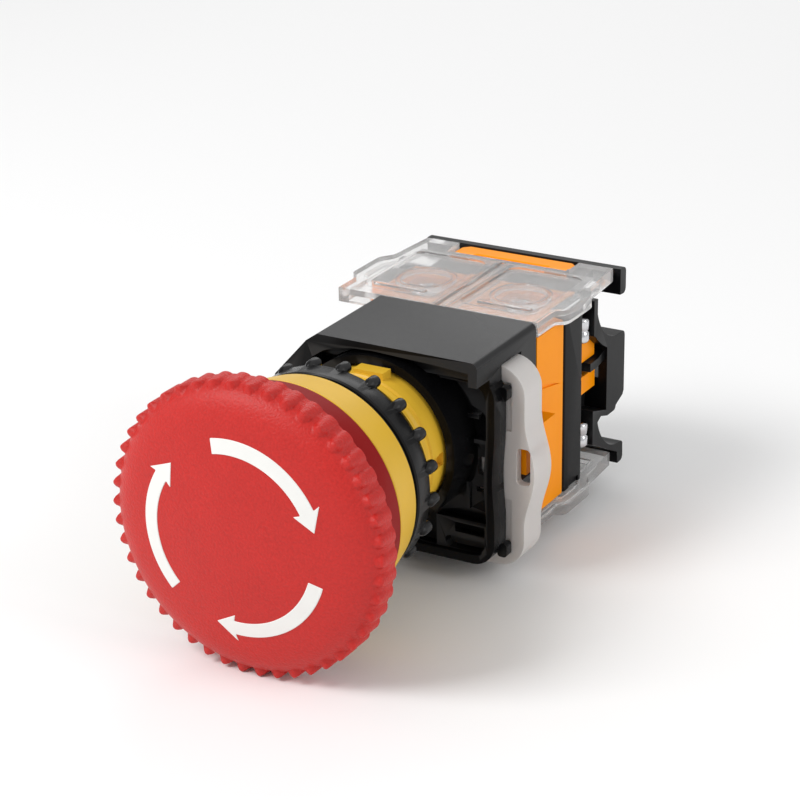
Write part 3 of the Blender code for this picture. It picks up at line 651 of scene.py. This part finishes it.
def tray_details():
    """Pockets, ribs, ledges and the two small windows on each side of the barrel."""
    steps = []
    for side in (1, -1):
        def x(a, b):
            return side * a, side * b
        steps += [
            ("join", slab(x(7.0, 15.2), (SHELF_Y, TRAY_FLOOR + 0.5), (-15.9, -10.9))),
            ("cut", slab(x(9.9, 14.4), (SHELF_Y - 1, TRAY_FLOOR - 0.2), (-12.9, -11.5))),
            ("cut", prism(rounded((min(x(8.4, 14.4)), -15.4), (max(x(8.4, 14.4)), -13.7), 0.6, 3), "Y",
                          SHELF_Y - 1, TRAY_FLOOR - 0.1)),
            ("join", slab(x(11.4, 13.4), (SHELF_Y + 0.4, TRAY_FLOOR + 0.3), (4.1, 4.7))),
            ("join", slab(x(12.9, 15.3), (SHELF_Y - 0.1, TRAY_FLOOR + 0.3), (0.8, 1.4))),
            ("join", slab(x(7.8, 12.1), (SHELF_Y + 0.5, TRAY_FLOOR + 0.3), (-1.3, -0.1))),
            ("join", slab(x(11.2, 11.7), (SHELF_Y + 0.9, TRAY_FLOOR + 0.3), (-9.5, -5.6))),
            ("cut", prism(rounded((min(x(12.6, 14.3)), -4.5), (max(x(12.6, 14.3)), -1.8), 0.45, 3), "Y",
                          TRAY_FRONT, TRAY_REAR + 1)),
            ("cut", slab(x(12.4, 14.35), (TRAY_FRONT, TRAY_REAR + 1), (-7.0, -6.3))),
            ("cut", slab(x(13.55, 14.35), (TRAY_FRONT, TRAY_REAR + 1), (-7.9, -6.6))),
            ("cut", slab(x(8.0, 11.3), (TRAY_FLOOR - 0.4, TRAY_FLOOR + 0.55), (-5.2, -1.7))),
        ]
    return steps


def base_chamber():
    """The hollow behind the tray, seen from the front."""
    side, floor, ceiling = BLOCK_HALF - HOOD_WALL, BASE_BOTTOM + HOOD_WALL, HOOD_TOP - HOOD_WALL
    return [(-side, floor), (side, floor), (side, ceiling), (HOOD_CUT[0][0] + 1.0, ceiling),
            (-side, HOOD_CUT[2][1] - 1.2)]


def hood_mouth(ceiling):
    """The arched opening under the hood's front edge."""
    return [(MOUTH_LEFT, 5.0), (14.3, 5.0), (14.3, ceiling - 0.5), (8.8, ceiling - 0.15),
            (0.0, ceiling + 0.15), (-3.3, ceiling), (-6.0, ceiling - 0.5), (-7.7, ceiling - 1.1),
            (MOUTH_LEFT, ceiling - 2.3)]


def build_base():
    """Black base: a hood over a shallow front tray, hollow behind, with a barrel hole and a lever slot."""
    low = (BLOCK_HALF - HOOD_CORNER, BASE_BOTTOM + HOOD_CORNER)
    hood = (arc((-low[0], low[1]), HOOD_CORNER, 180, 270, 8) + arc(low, HOOD_CORNER, 270, 360, 8)
            + arc((BLOCK_HALF - HOOD_EDGE, HOOD_TOP - HOOD_EDGE), HOOD_EDGE, 0, 90, 5) + list(HOOD_CUT))
    ahead = HOOD_FRONT - 1.0
    clear = TRAY_TOP - 0.25
    lever_low, lever_high = LEVER_LOW.y - 0.3, LEVER_HIGH.y + 0.3
    front_clearance = [(-20, -20), (20, -20), (20, clear), (MOUTH_LEFT, clear), (MOUTH_LEFT, 4.0), (-20, 4.0)]
    steps = [
        ("join", prism(tray_outline(0.0), "Y", TRAY_FRONT, TRAY_REAR)),
        ("cut", prism(front_clearance, "Y", ahead, TRAY_FRONT)),
        ("cut", prism(hood_mouth(HOOD_TOP - 1.1), "Y", ahead, HOOD_FRONT + 2.2)),
        ("cut", rod(BARREL_WELL, ahead, TRAY_FLOOR, steps=96)),
        ("cut", prism(tray_outline(TRAY_WALL), "Y", TRAY_FRONT - 1, TRAY_FLOOR)),
    ]
    steps += tray_details()
    steps += [
        ("join", rod(BARREL_WELL - 0.1, COLLAR_END + 0.4, TRAY_REAR, steps=96)),
        ("cut", prism(base_chamber(), "Y", TRAY_REAR, BASE_REAR + 1)),
        ("cut", rod(BARREL_RADIUS + 0.3, ahead - 1, TRAY_REAR + 1, steps=96)),
        ("cut", slab((11.0, 22.0), (lever_low, lever_high), (LEVER_LOW.z - 2, LEVER_HIGH.z + 0.3))),
        ("cut", slab((12.5, 17.0), (lever_high - 0.5, BASE_REAR + 0.5), (-7.6, 1.9))),
    ]
    for z in LATCH_NUB_Z:
        nub = rounded((15.7, z - 1.0), (17.1, z + 1.0), 0.45, 4)
        steps.append(("join", prism(nub, "Y", TRAY_REAR - 1.4, TRAY_REAR + 0.05)))
    mesh = carve(prism(hood, "Y", HOOD_FRONT, BASE_REAR), steps)
    make("base_shell", mesh, "frame", "black", ["base_housing"], bevel=0.28)


# ---------------------------------------------------------------- lock lever

THUMB_HALF = 8.0
LEVER_REACH = 18.9
LEVER_BULGE = LEVER_HIGH.x
LEVER_WALL = 1.3
LEVER_CORNER = 4.0
LEVER_PANEL_X = (11.0, 16.9)  # the front's two set-back panels
THUMB_SLOT = ((17.7, -5.5), (19.75, -0.2))


def lever_outline(inset):
    """The lever seen from the front: round corners and a thumb bulge."""
    top, bottom, reach = LEVER_HIGH.z - inset, LEVER_LOW.z + inset, LEVER_REACH - inset
    corner = LEVER_CORNER - inset
    swell = LEVER_BULGE - LEVER_REACH
    bulge = []
    for i in range(25):
        z = THUMB_Z - THUMB_HALF + 2 * THUMB_HALF * i / 24
        bulge.append((reach + swell * 0.5 * (1 + math.cos(math.pi * (z - THUMB_Z) / THUMB_HALF)), z))
    inner = LEVER_LOW.x + inset
    return ([(inner, bottom)] + arc((reach - corner, bottom + corner), corner, -90, 0, 10) + bulge
            + arc((reach - corner, top - corner), corner, 0, 90, 10) + [(inner, top)])


def build_lever():
    """Milky lock lever: a front plate with a set-back inner panel, an outer wall, and the thumb slot."""
    front, rear = LEVER_LOW.y, LEVER_HIGH.y
    behind = (front + LEVER_WALL + 0.1, rear + 1)
    steps = [
        ("cut", prism(lever_outline(LEVER_WALL), "Y", *behind)),
        ("cut", slab((LEVER_LOW.x - 1, LEVER_LOW.x + 2), behind,
                     (LEVER_LOW.z + LEVER_WALL, LEVER_HIGH.z - LEVER_WALL))),
    ]
    for heights in ((2.0, 9.0), (-16.0, -8.0)):
        steps.append(("cut", slab(LEVER_PANEL_X, (front - 1, front + 0.35), heights)))
    steps.append(("cut", prism(rounded(*THUMB_SLOT, 0.6, 4), "Y", front - 1, rear + 1)))
    mesh = carve(prism(lever_outline(0.0), "Y", front, rear), steps)
    make("release_lever", mesh, "lever", "milky", ["lock_lever"], bevel=0.35)


# ---------------------------------------------------------------- contact blocks

BLOCK_Z = (HOUSING_LOW.z + HOUSING_HIGH.z) / 2
BLOCK_FRONT, BLOCK_REAR = HOUSING_LOW.y, HOUSING_HIGH.y
BLOCK_TOP = HOUSING_HIGH.z
BAR_LOW, BAR_HIGH = span("side_bar_right")
SCREW_LOW, SCREW_HIGH = span("terminal_screw_no_upper")
SCREW_X, SCREW_Y = (SCREW_LOW.x + SCREW_HIGH.x) / 2, (SCREW_LOW.y + SCREW_HIGH.y) / 2
HOOK_PARTS = (((12.7, 14.5), (47.2, 51.9), (2.2, 5.6)), ((12.7, 14.3), (47.2, 52.6), (-2.9, -0.2)))
BLOCK_LIFT = BLOCK_TOP - BLOCK_Z
CAVITY = 6.9  # heights from the blocks' middle: inner hollow, wire slit, bay floor, screw head
PASSAGE = 6.2
BAY_FLOOR = 8.9
SCREW_TOP = 12.9
SCREW_HEAD = 2.1
SLOT_DEPTH = 1.0
SLOT_HALF = (0.32, 1.6)
BAY_X = (3.9, 11.3)
RIM_X = (2.9, 12.3)
BAR_X = 12.9
PAST = 17.0  # beyond the blocks' side faces, for cutters
CLAW = ((14.6, 18.2), (23.2, 32.0), (-4.8, 1.0))
CREASE = ((BLOCK_FRONT - 1, 4.0), (34.2, 3.5), (38.57, 2.67), (34.2, 4.05), (BLOCK_FRONT - 1, 4.6))
CREASE_X = 15.35
BAR_ROUND = 0.3
BAR_GROOVES_Z = ((0.2, 0.6), (-7.4, -7.0))
PIN_ROUND = 0.55
CONTACT_LEG_Y = {1: 44.6, -1: 36.4}


def block_z(height, end):
    """A height measured from the blocks' middle, upwards (end 1) or downwards (end -1)."""
    return BLOCK_Z + end * height


def terminal_bay(side, end):
    """Cuts for one terminal: its bay, the shallow rim round it, the contact's slit and the screw's hole."""
    def x(a, b):
        return sorted((side * a, side * b))

    bay_x, rim_x = x(*BAY_X), x(*RIM_X)
    over = block_z(BLOCK_LIFT + 1, end)
    passage = (block_z(PASSAGE, end), block_z(BAY_FLOOR + 0.2, end))
    bay = rounded((bay_x[0], SCREW_Y - 4.3), (bay_x[1], BLOCK_REAR - 1.9), 1.6, 5)
    rim = rounded((rim_x[0], SCREW_Y - 5.4), (rim_x[1], BLOCK_REAR - 0.9), 2.0, 5)
    middle = side * SCREW_X
    slit_y = (CONTACT_LEG_Y[side] - 0.25, CONTACT_LEG_Y[side] + 1.05)
    return [
        ("cut", prism(bay, "Z", *sorted((block_z(BAY_FLOOR, end), over)))),
        ("cut", prism(rim, "Z", *sorted((block_z(BLOCK_LIFT - 0.6, end), over)))),
        ("cut", slab((middle - 2.6, middle + 2.6), slit_y, passage)),
        ("cut", post(1.7, middle, SCREW_Y, passage)),
    ]


def build_housing(side, kind):
    """One orange contact housing with its plunger hole, terminal bays, side crease and rear hooks."""
    def x(a, b):
        return side * a, side * b

    all_heights = (-40, 40)
    inner_z = (BLOCK_Z - CAVITY, BLOCK_Z + CAVITY)
    steps = [
        ("cut", slab(x(BAR_X, PAST), (BAR_LOW.y - 0.1, BLOCK_REAR + 1), all_heights)),
        ("cut", slab(x(2.2, 12.0), (BLOCK_FRONT + 1.4, BLOCK_REAR - 1.2), inner_z)),
        ("cut", rod(1.95, BLOCK_FRONT - 1, BLOCK_FRONT + 3, (side * SCREW_X, BLOCK_Z), 32)),
    ]
    for end in (1, -1):
        steps += terminal_bay(side, end)
    steps.append(("cut", prism(CREASE, "X", *sorted(x(CREASE_X, PAST)))))
    steps.append(("cut", slab(x(15.3, PAST), (39.5, BAR_LOW.y + 0.5), all_heights)))
    if side > 0:
        steps.append(("join", slab(*CLAW)))
    else:
        corner = [(HOOD_CUT[1][0] - 0.6, BLOCK_TOP + 0.5), (-20.0, BLOCK_TOP + 0.5), (-20.0, 2.5)]
        steps.append(("cut", prism(corner, "Y", BLOCK_FRONT - 1, BAR_LOW.y - 0.2)))
    for hook_x, hook_y, hook_z in HOOK_PARTS:
        steps.append(("join", slab(x(*hook_x), hook_y, hook_z)))
    body = slab(x(0.1, BLOCK_HALF), (BLOCK_FRONT, BLOCK_REAR), (HOUSING_LOW.z, BLOCK_TOP))
    make(f"housing_{kind}", carve(body, steps), "frame", "orange",
         [f"contact_housing_{kind}"], bevel=0.22)


def bar_plan(side):
    """Plan of a side bar, seen from above: a rounded front corner and a stepped rear edge."""
    low, high, outer, inner = BAR_LOW.y, BAR_HIGH.y, BLOCK_HALF, BAR_LOW.x
    plan = [(inner, low), (outer - BAR_ROUND, low)]
    plan += [(outer - BAR_ROUND + BAR_ROUND * math.sin(a), low + BAR_ROUND - BAR_ROUND * math.cos(a))
             for a in (0.8, 1.57)]
    plan += [(outer, high - 0.9), (outer - 0.35, high - 0.75), (outer - 0.35, high - 0.1),
             (outer - 0.6, high), (inner, high)]
    return [(side * x, y) for x, y in plan]


def build_side_bar(side, word):
    """Black side bar with a rounded outer face, a groove near its rear edge and a thin inner web."""
    low, high, outer, inner = BAR_LOW.y, BAR_HIGH.y, BLOCK_HALF, BAR_LOW.x
    bottom, top = BAR_LOW.z, BAR_HIGH.z

    def skin(depth):
        return side * (outer - depth), side * PAST

    steps = [
        ("join", slab((side * (inner - 0.05), side * (inner + 0.55)), (high - 0.2, BLOCK_REAR),
                      (bottom + 0.3, top - 0.3))),
        ("cut", slab(skin(0.25), (low + 1.6, high - 1.6), (top - 1.3, top + 1))),
        ("cut", slab(skin(0.25), (low + 1.6, high - 1.6), (bottom - 1, bottom + 0.9))),
    ]
    for groove_z in BAR_GROOVES_Z:
        steps.append(("cut", slab(skin(0.4), (high - 1.2, high + 1), groove_z)))
    mesh = carve(prism(bar_plan(side), "Z", bottom, top), steps)
    make(f"bar_{word}", mesh, "frame", "black_matt", [f"side_bar_{word}"], bevel=0.12,
         segments=2)
    for height in ("upper", "lower"):
        build_clamp_pin(word, height)


def build_clamp_pin(word, height):
    """A short bright pin with domed ends and a waist, standing behind the side bar."""
    node = f"clamp_pin_{word}_{height}"
    low, high = span(node)
    radius, half = (high.x - low.x) / 2, (high.z - low.z) / 2
    corner = radius - PIN_ROUND
    lower_end = [(r, PIN_ROUND - half + h) for r, h in arc((corner, 0.0), PIN_ROUND, -90, 0, 5)]
    upper_end = [(r, half - PIN_ROUND + h) for r, h in arc((corner, 0.0), PIN_ROUND, 0, 90, 5)]
    waist = [(radius, -0.25), (radius - 0.14, -0.12), (radius - 0.14, 0.12), (radius, 0.25)]
    pin = lathe([(0.0, -half), *lower_end, *waist, *upper_end, (0.0, half)], 40)
    pin.transform(Matrix.Translation((low + high) / 2) @ Matrix.Rotation(math.radians(90), 4, "X"))
    make(f"pin_{word}_{height}", pin, "frame", "steel", [node], sharp=50)


def build_terminal_screw(side, kind, end, word):
    """A domed cross-slot terminal screw, its head towards end (1 up, -1 down)."""
    x = side * SCREW_X
    node = f"terminal_screw_{kind}_{word}"
    low, high = span(node)
    head_top = block_z(SCREW_TOP, end)
    radius = (high.x - low.x) / 2
    head = [(0.0, 0.0), (radius, 0.0), (radius, 1.35), (radius - 0.25, 1.75), (radius * 0.6, 2.0),
            (0.0, SCREW_HEAD)]
    screw = lathe(head, 48)
    screw.transform(Matrix.Rotation(math.radians(90), 4, "X"))
    for vertex in screw.verts:
        vertex.co.z = head_top - end * (SCREW_HEAD - abs(vertex.co.z))
        vertex.co.x += x
        vertex.co.y += SCREW_Y
    deep = (head_top - end * SLOT_DEPTH, head_top + end * SLOT_DEPTH)
    short, long = SLOT_HALF
    steps = [("join", post(1.4, x, SCREW_Y, (block_z(7.0, end), block_z(11.5, end)))),
             ("cut", slab((x - short, x + short), (SCREW_Y - long, SCREW_Y + long), deep)),
             ("cut", slab((x - long, x + long), (SCREW_Y - short, SCREW_Y + short), deep))]
    make(f"screw_{kind}_{word}", carve(screw, steps), "frame", "steel", [node], bevel=0.08,
         segments=2)


def build_clamp_plate(side, kind, word):
    """The square clamp washer under a terminal screw."""
    node = f"clamp_plate_{kind}_{word}"
    low, high = span(node)
    plan = rounded((low.x, low.y), (high.x, high.y), 0.5, 4)
    hole = post(1.6, side * SCREW_X, SCREW_Y, (low.z - 1, high.z + 1))
    washer = carve(prism(plan, "Z", low.z, high.z), [("cut", hole)])
    make(f"clamp_{kind}_{word}", washer, "frame", "steel", [node], bevel=0.10, segments=2)


# ---------------------------------------------------------------- rear plate

PLATE_LOW, PLATE_HIGH = span("rear_plate")
PLATE_HALF = PLATE_HIGH.x
PLATE_REAR = PLATE_HIGH.y
WEB_FRONT = PLATE_LOW.y
WEB_REAR = WEB_FRONT + 1.2
UPPER_NOTCH = ((57.4, 11.6), 7.8)
LOWER_NOTCH = ((58.5, -5.2), 8.4)
RAIL_ROUND = 0.8
RAIL_FRONT = 57.4
CENTRE_ROUND = 0.9
PLATE_SCREW_X = 6.2
PAST_REAR = 62.0  # beyond the plate's rear face, for cutters


def plate_outline():
    """Side view of the web, the centre block, the lower notch and the lower hook."""
    rear = PLATE_REAR
    hook = rear - RAIL_ROUND
    centre_block = (arc((rear - CENTRE_ROUND, 2.95), CENTRE_ROUND, 80, 0, 5)
                    + [(rear, -5.7), (rear - 0.4, -6.3), (57.0, -7.0)]
                    + arc((56.0, -7.2), 0.6, 0, -90, 4) + [(53.8, -7.8), (51.6, -7.1)])
    lower_hook = (arc((hook, -14.4), RAIL_ROUND, 90, 0, 4)[:-1] + arc((hook, -16.0), RAIL_ROUND, 0, -90, 5)
                  + [(57.5, -16.8), (57.3, -14.9)])
    return ([(WEB_FRONT, 11.5), (WEB_REAR, 11.5)] + arc(*UPPER_NOTCH, 198, 262, 18) + centre_block
            + arc(*LOWER_NOTCH, 197, 270, 20) + lower_hook + [(WEB_FRONT, -10.6)])


def plate_side(side):
    """The gap, pocket, screw hole and slim arm on one side of the rear plate."""
    def x(a, b):
        return sorted((side * a, side * b))

    gap = [(WEB_FRONT - 1, 6.6), (WEB_FRONT + 0.4, 6.0), (50.4, 4.9), (51.7, 3.9), (53.3, 3.0), (53.3, -6.7),
           (WEB_FRONT - 1, -5.0)]
    arm = [(WEB_FRONT, 1.9), (51.4, 1.9), (53.6, 2.6), (53.6, 1.0), (51.0, 0.6), (WEB_FRONT, 0.6)]
    screw = (side * PLATE_SCREW_X, BLOCK_Z)
    return [
        ("cut", prism(gap, "X", *x(12.4, 20.0))),
        ("cut", slab(x(9.5, 14.5), (WEB_REAR + 0.3, PLATE_REAR + 2), (-1.9, 2.2))),
        ("cut", rod(1.75, 45.0, PAST_REAR, screw, 40)),
        ("cut", rod(2.9, PLATE_REAR - 0.7, PAST_REAR, screw, 40)),
        ("join", prism(arm, "X", *x(12.3, 15.4))),
    ]


def build_rear_plate():
    """Web, centre block and the two hooked rails beyond the round notches."""
    corner = PLATE_REAR - RAIL_ROUND
    rail = ([(RAIL_FRONT, 13.6), (RAIL_FRONT, 9.7)] + arc((corner, 10.4), RAIL_ROUND, -90, 0, 5)
            + arc((corner, 12.8), RAIL_ROUND, 0, 90, 5))
    steps = [("join", prism(rail, "X", -PLATE_HALF, PLATE_HALF)),
             ("join", slab((-11.5, 11.5), (WEB_FRONT + 0.1, RAIL_FRONT + 0.2), (9.95, 11.4)))]
    for side in (1, -1):
        steps += plate_side(side)
    steps.append(("cut", slab((-3.2, 3.2), (PLATE_REAR - 0.6, PAST_REAR), (0.8, 2.6))))
    mesh = carve(prism(plate_outline(), "X", -PLATE_HALF, PLATE_HALF), steps)
    make("rear_carrier", mesh, "frame", "black_matt", ["rear_plate"], bevel=0.22)


def build_fixing_screw(word):
    """A small cross-slot screw that holds the rear plate."""
    node = f"fixing_screw_{word}"
    low, high = span(node)
    x = (low.x + high.x) / 2
    radius = (high.x - low.x) / 2
    profile = [(0.0, low.y), (radius, low.y), (radius, high.y - 0.5), (radius - 0.25, high.y - 0.2),
               (radius * 0.5, high.y), (0.0, high.y)]
    deep = (high.y - 0.8, high.y + 1)
    steps = [("cut", slab((x - 0.2, x + 0.2), deep, (BLOCK_Z - 1.1, BLOCK_Z + 1.1))),
             ("cut", slab((x - 1.1, x + 1.1), deep, (BLOCK_Z - 0.2, BLOCK_Z + 0.2)))]
    mesh = carve(lathe(profile, 40, None, (x, BLOCK_Z)), steps)
    make(f"plate_screw_{word}", mesh, "frame", "steel", [node], bevel=0.05, segments=2)


def build_release_tab():
    """The orange catch tab on top, in front of the upper rail."""
    low, high = span("release_tab")
    plan = [(low.x, low.y), (high.x, low.y), (high.x, high.y - 1.0), (high.x - 1.0, high.y),
            (low.x + 1.0, high.y), (low.x, high.y - 1.0)]
    steps = [("cut", slab((-6.0, 6.0), (low.y - 1, low.y + 1.2), (high.z - 0.6, high.z + 1)))]
    mesh = carve(prism(plan, "Z", low.z, high.z), steps)
    make("catch_tab", mesh, "frame", "orange", ["release_tab"], bevel=0.25)


# ---------------------------------------------------------------- clear covers

COVER_LOW, COVER_HIGH = span("terminal_cover_upper")
COVER_FRONT, COVER_REAR = COVER_LOW.y, COVER_HIGH.y
COVER_TOP = COVER_HIGH.z
COVER_RIM = COVER_LOW.z
COVER_HALF = 15.7
COVER_WALL = 1.2
SWELL = 1.5  # how far the sides bulge beside the terminals
SWELL_Y = (36.2, 38.4, 44.6, 47.8)  # where the swelling leaves the side, is full, starts back, and ends
PANEL_X = (1.9, 13.6)
PANEL_REAR = 50.6
HOLLOW_REAR = 52.4
RIB_X = (0.7, 1.5)
RING_HALF = (4.2, 3.5)
TAB_NOTCH = ((-9.8, 9.8), (53.0, 58.0))
TAB_RECESS = ((-9.6, 9.6), (52.3, 58.0))


def cover_plan(inset):
    """Plan of a cover: straight sides with a swelling beside the terminals."""
    half, swell = COVER_HALF - inset, COVER_HALF + SWELL - inset
    front, rear = COVER_FRONT + inset, COVER_REAR - inset
    leave, full = SWELL_Y[0] + inset, SWELL_Y[1] + inset
    start_back, end = SWELL_Y[2] - inset, SWELL_Y[3] - inset
    out = bezier((half, leave), (half + 0.2, leave + 1.0), (swell, full - 1.5), (swell, full), 6)
    back = bezier((swell, start_back), (swell, start_back + 1.6), (half + 0.1, end - 1.4), (half, end), 6)
    right = [(half, front), (half, leave), *out, (swell, start_back), *back, (half - 0.5, rear)]
    return right + [(-x, y) for x, y in reversed(right)]


def cover_side(side):
    """Panel, terminal ring, rib and step on one side of the cover's middle."""
    def x(a, b):
        return sorted((side * a, side * b))

    top = COVER_TOP
    panel_x = x(*PANEL_X)
    panel = rounded((panel_x[0], COVER_FRONT + 2.4), (panel_x[1], PANEL_REAR), 1.6, 5)
    middle = side * SCREW_X
    outer, inner = (rounded((middle - r, SCREW_Y - r), (middle + r, SCREW_Y + r), r - 0.6, 8)
                    for r in RING_HALF)
    ring = carve(prism(outer, "Z", top - COVER_WALL - 0.75, top - 0.5),
                 [("cut", prism(inner, "Z", top - COVER_WALL - 2, top - COVER_WALL + 0.1))])
    return [
        ("cut", prism(panel, "Z", top - 0.35, top + 1)),
        ("join", ring),
        ("join", slab(x(*RIB_X), (COVER_FRONT + 0.5, 52.0), (top - COVER_WALL - 1.0, top - 0.3))),
        ("join", slab(x(4.2, 12.4), (COVER_FRONT + 4.2, COVER_FRONT + 5.0), (top - 0.5, top - 0.05))),
    ]


def build_cover(body, name, node, end):
    """A clear cover with raised panels, a central double rib, terminal rings and a notch for the tab."""
    top, rim = COVER_TOP, COVER_RIM
    hollow = [(x, min(y, HOLLOW_REAR)) for x, y in cover_plan(COVER_WALL)]
    steps = [("cut", prism(hollow, "Z", rim - 1, top - COVER_WALL))]
    for side in (1, -1):
        steps += cover_side(side)
    steps.append(("cut", slab(*TAB_NOTCH, (rim - 1, top + 1))))
    steps.append(("cut", slab(*TAB_RECESS, (top - 0.45, top + 1))))
    steps.append(("cut", slab((-0.35, 0.35), (COVER_FRONT - 1, 51.8), (top - 0.45, top + 1))))
    mesh = carve(prism(cover_plan(0.0), "Z", rim, top), steps)
    if end < 0:
        mesh = mirrored(mesh, BLOCK_Z)
    make(name, mesh, body, "clear", [node], bevel=0.16, segments=2)


# ---------------------------------------------------------------- kept CAD nodes, floor and light

KEPT = {
    "black_matt": ["latch_sleeve", "operator_stem", "actuator_plate"],
    "milky": ["contact_plunger_no", "contact_plunger_nc"],
    "steel": ["return_spring", "contact_spring_no", "contact_spring_nc"],
    "brass": ["moving_bridge_no", "moving_bridge_nc", "fixed_contact_no_upper", "fixed_contact_no_lower",
              "fixed_contact_nc_upper", "fixed_contact_nc_lower"],
}


def dress_kept_nodes():
    """Materials and smooth shading on the CAD solids that stay as they are."""
    for material, nodes in KEPT.items():
        for node in nodes:
            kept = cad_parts[node]
            for place in kept.material_slots:
                place.material = MATERIALS[material]
            kept.data.shade_smooth()
            kept.data.set_sharp_from_angle(angle=math.radians(35))


def area_light(name, place, aim, size, power):
    """A rectangular softbox, all in millimetres and watts."""
    data = bpy.data.lights.new(name, "AREA")
    data.shape = "RECTANGLE"
    data.size, data.size_y = size[0] * MM, size[1] * MM
    data.energy = power
    light = bpy.data.objects.new(name, data)
    light.location = Vector(place) * MM
    direction = (Vector(aim) - Vector(place)).normalized()
    light.rotation_euler = direction.to_track_quat("-Z", "Y").to_euler()
    bpy.context.scene.collection.objects.link(light)


FLOOR_SIZE = 6.0  # metres from the middle to an edge
FLOOR_GAP = 0.0001  # metres below the object
WORLD_STRENGTH = 0.56


def build_floor():
    """A wide pale floor just under the object."""
    floor_z = CAD_BOX[0][2] - FLOOR_GAP
    mesh = bmesh.new()
    quarters = ((-1, -1), (1, -1), (1, 1), (-1, 1))
    mesh.faces.new([mesh.verts.new((x * FLOOR_SIZE, y * FLOOR_SIZE, floor_z)) for x, y in quarters])
    data = bpy.data.meshes.new("floor")
    mesh.to_mesh(data)
    mesh.free()
    floor = bpy.data.objects.new("floor", data)
    bpy.context.scene.collection.objects.link(floor)
    data.materials.append(surface("pale_floor", (0.93, 0.93, 0.93), 0.8, 0.01, 300.0, 5.0, 0.0, specular=0.2))


def build_lighting():
    """A white world and three softboxes."""
    world = bpy.data.worlds.new("studio")
    world.use_nodes = True
    background = world.node_tree.nodes["Background"]
    background.inputs["Color"].default_value = (1.0, 1.0, 1.0, 1.0)
    background.inputs["Strength"].default_value = WORLD_STRENGTH
    bpy.context.scene.world = world
    bpy.context.scene.view_settings.view_transform = "Standard"
    area_light("key_softbox", (-260, -330, 420), (0, 10, 0), (260, 260), 2.3)
    area_light("side_softbox", (480, 40, 240), (0, 30, 0), (260, 300), 0.7)
    area_light("rear_softbox", (-200, 520, 330), (0, 20, 10), (420, 220), 0.55)


build_cap()
for index in range(3):
    build_arrow(index)
build_skirt()
build_bezel()
build_nut()
build_base()
build_lever()
for block_side, block_kind, side_word in ((1, "no", "right"), (-1, "nc", "left")):
    build_housing(block_side, block_kind)
    build_side_bar(block_side, side_word)
    build_fixing_screw(side_word)
    for block_end, end_word in ((1, "upper"), (-1, "lower")):
        build_terminal_screw(block_side, block_kind, block_end, end_word)
        build_clamp_plate(block_side, block_kind, end_word)
build_rear_plate()
build_release_tab()
build_cover("upper_cover", "clear_cover_upper", "terminal_cover_upper", 1)
build_cover("lower_cover", "clear_cover_lower", "terminal_cover_lower", -1)
dress_kept_nodes()
build_floor()
build_lighting()
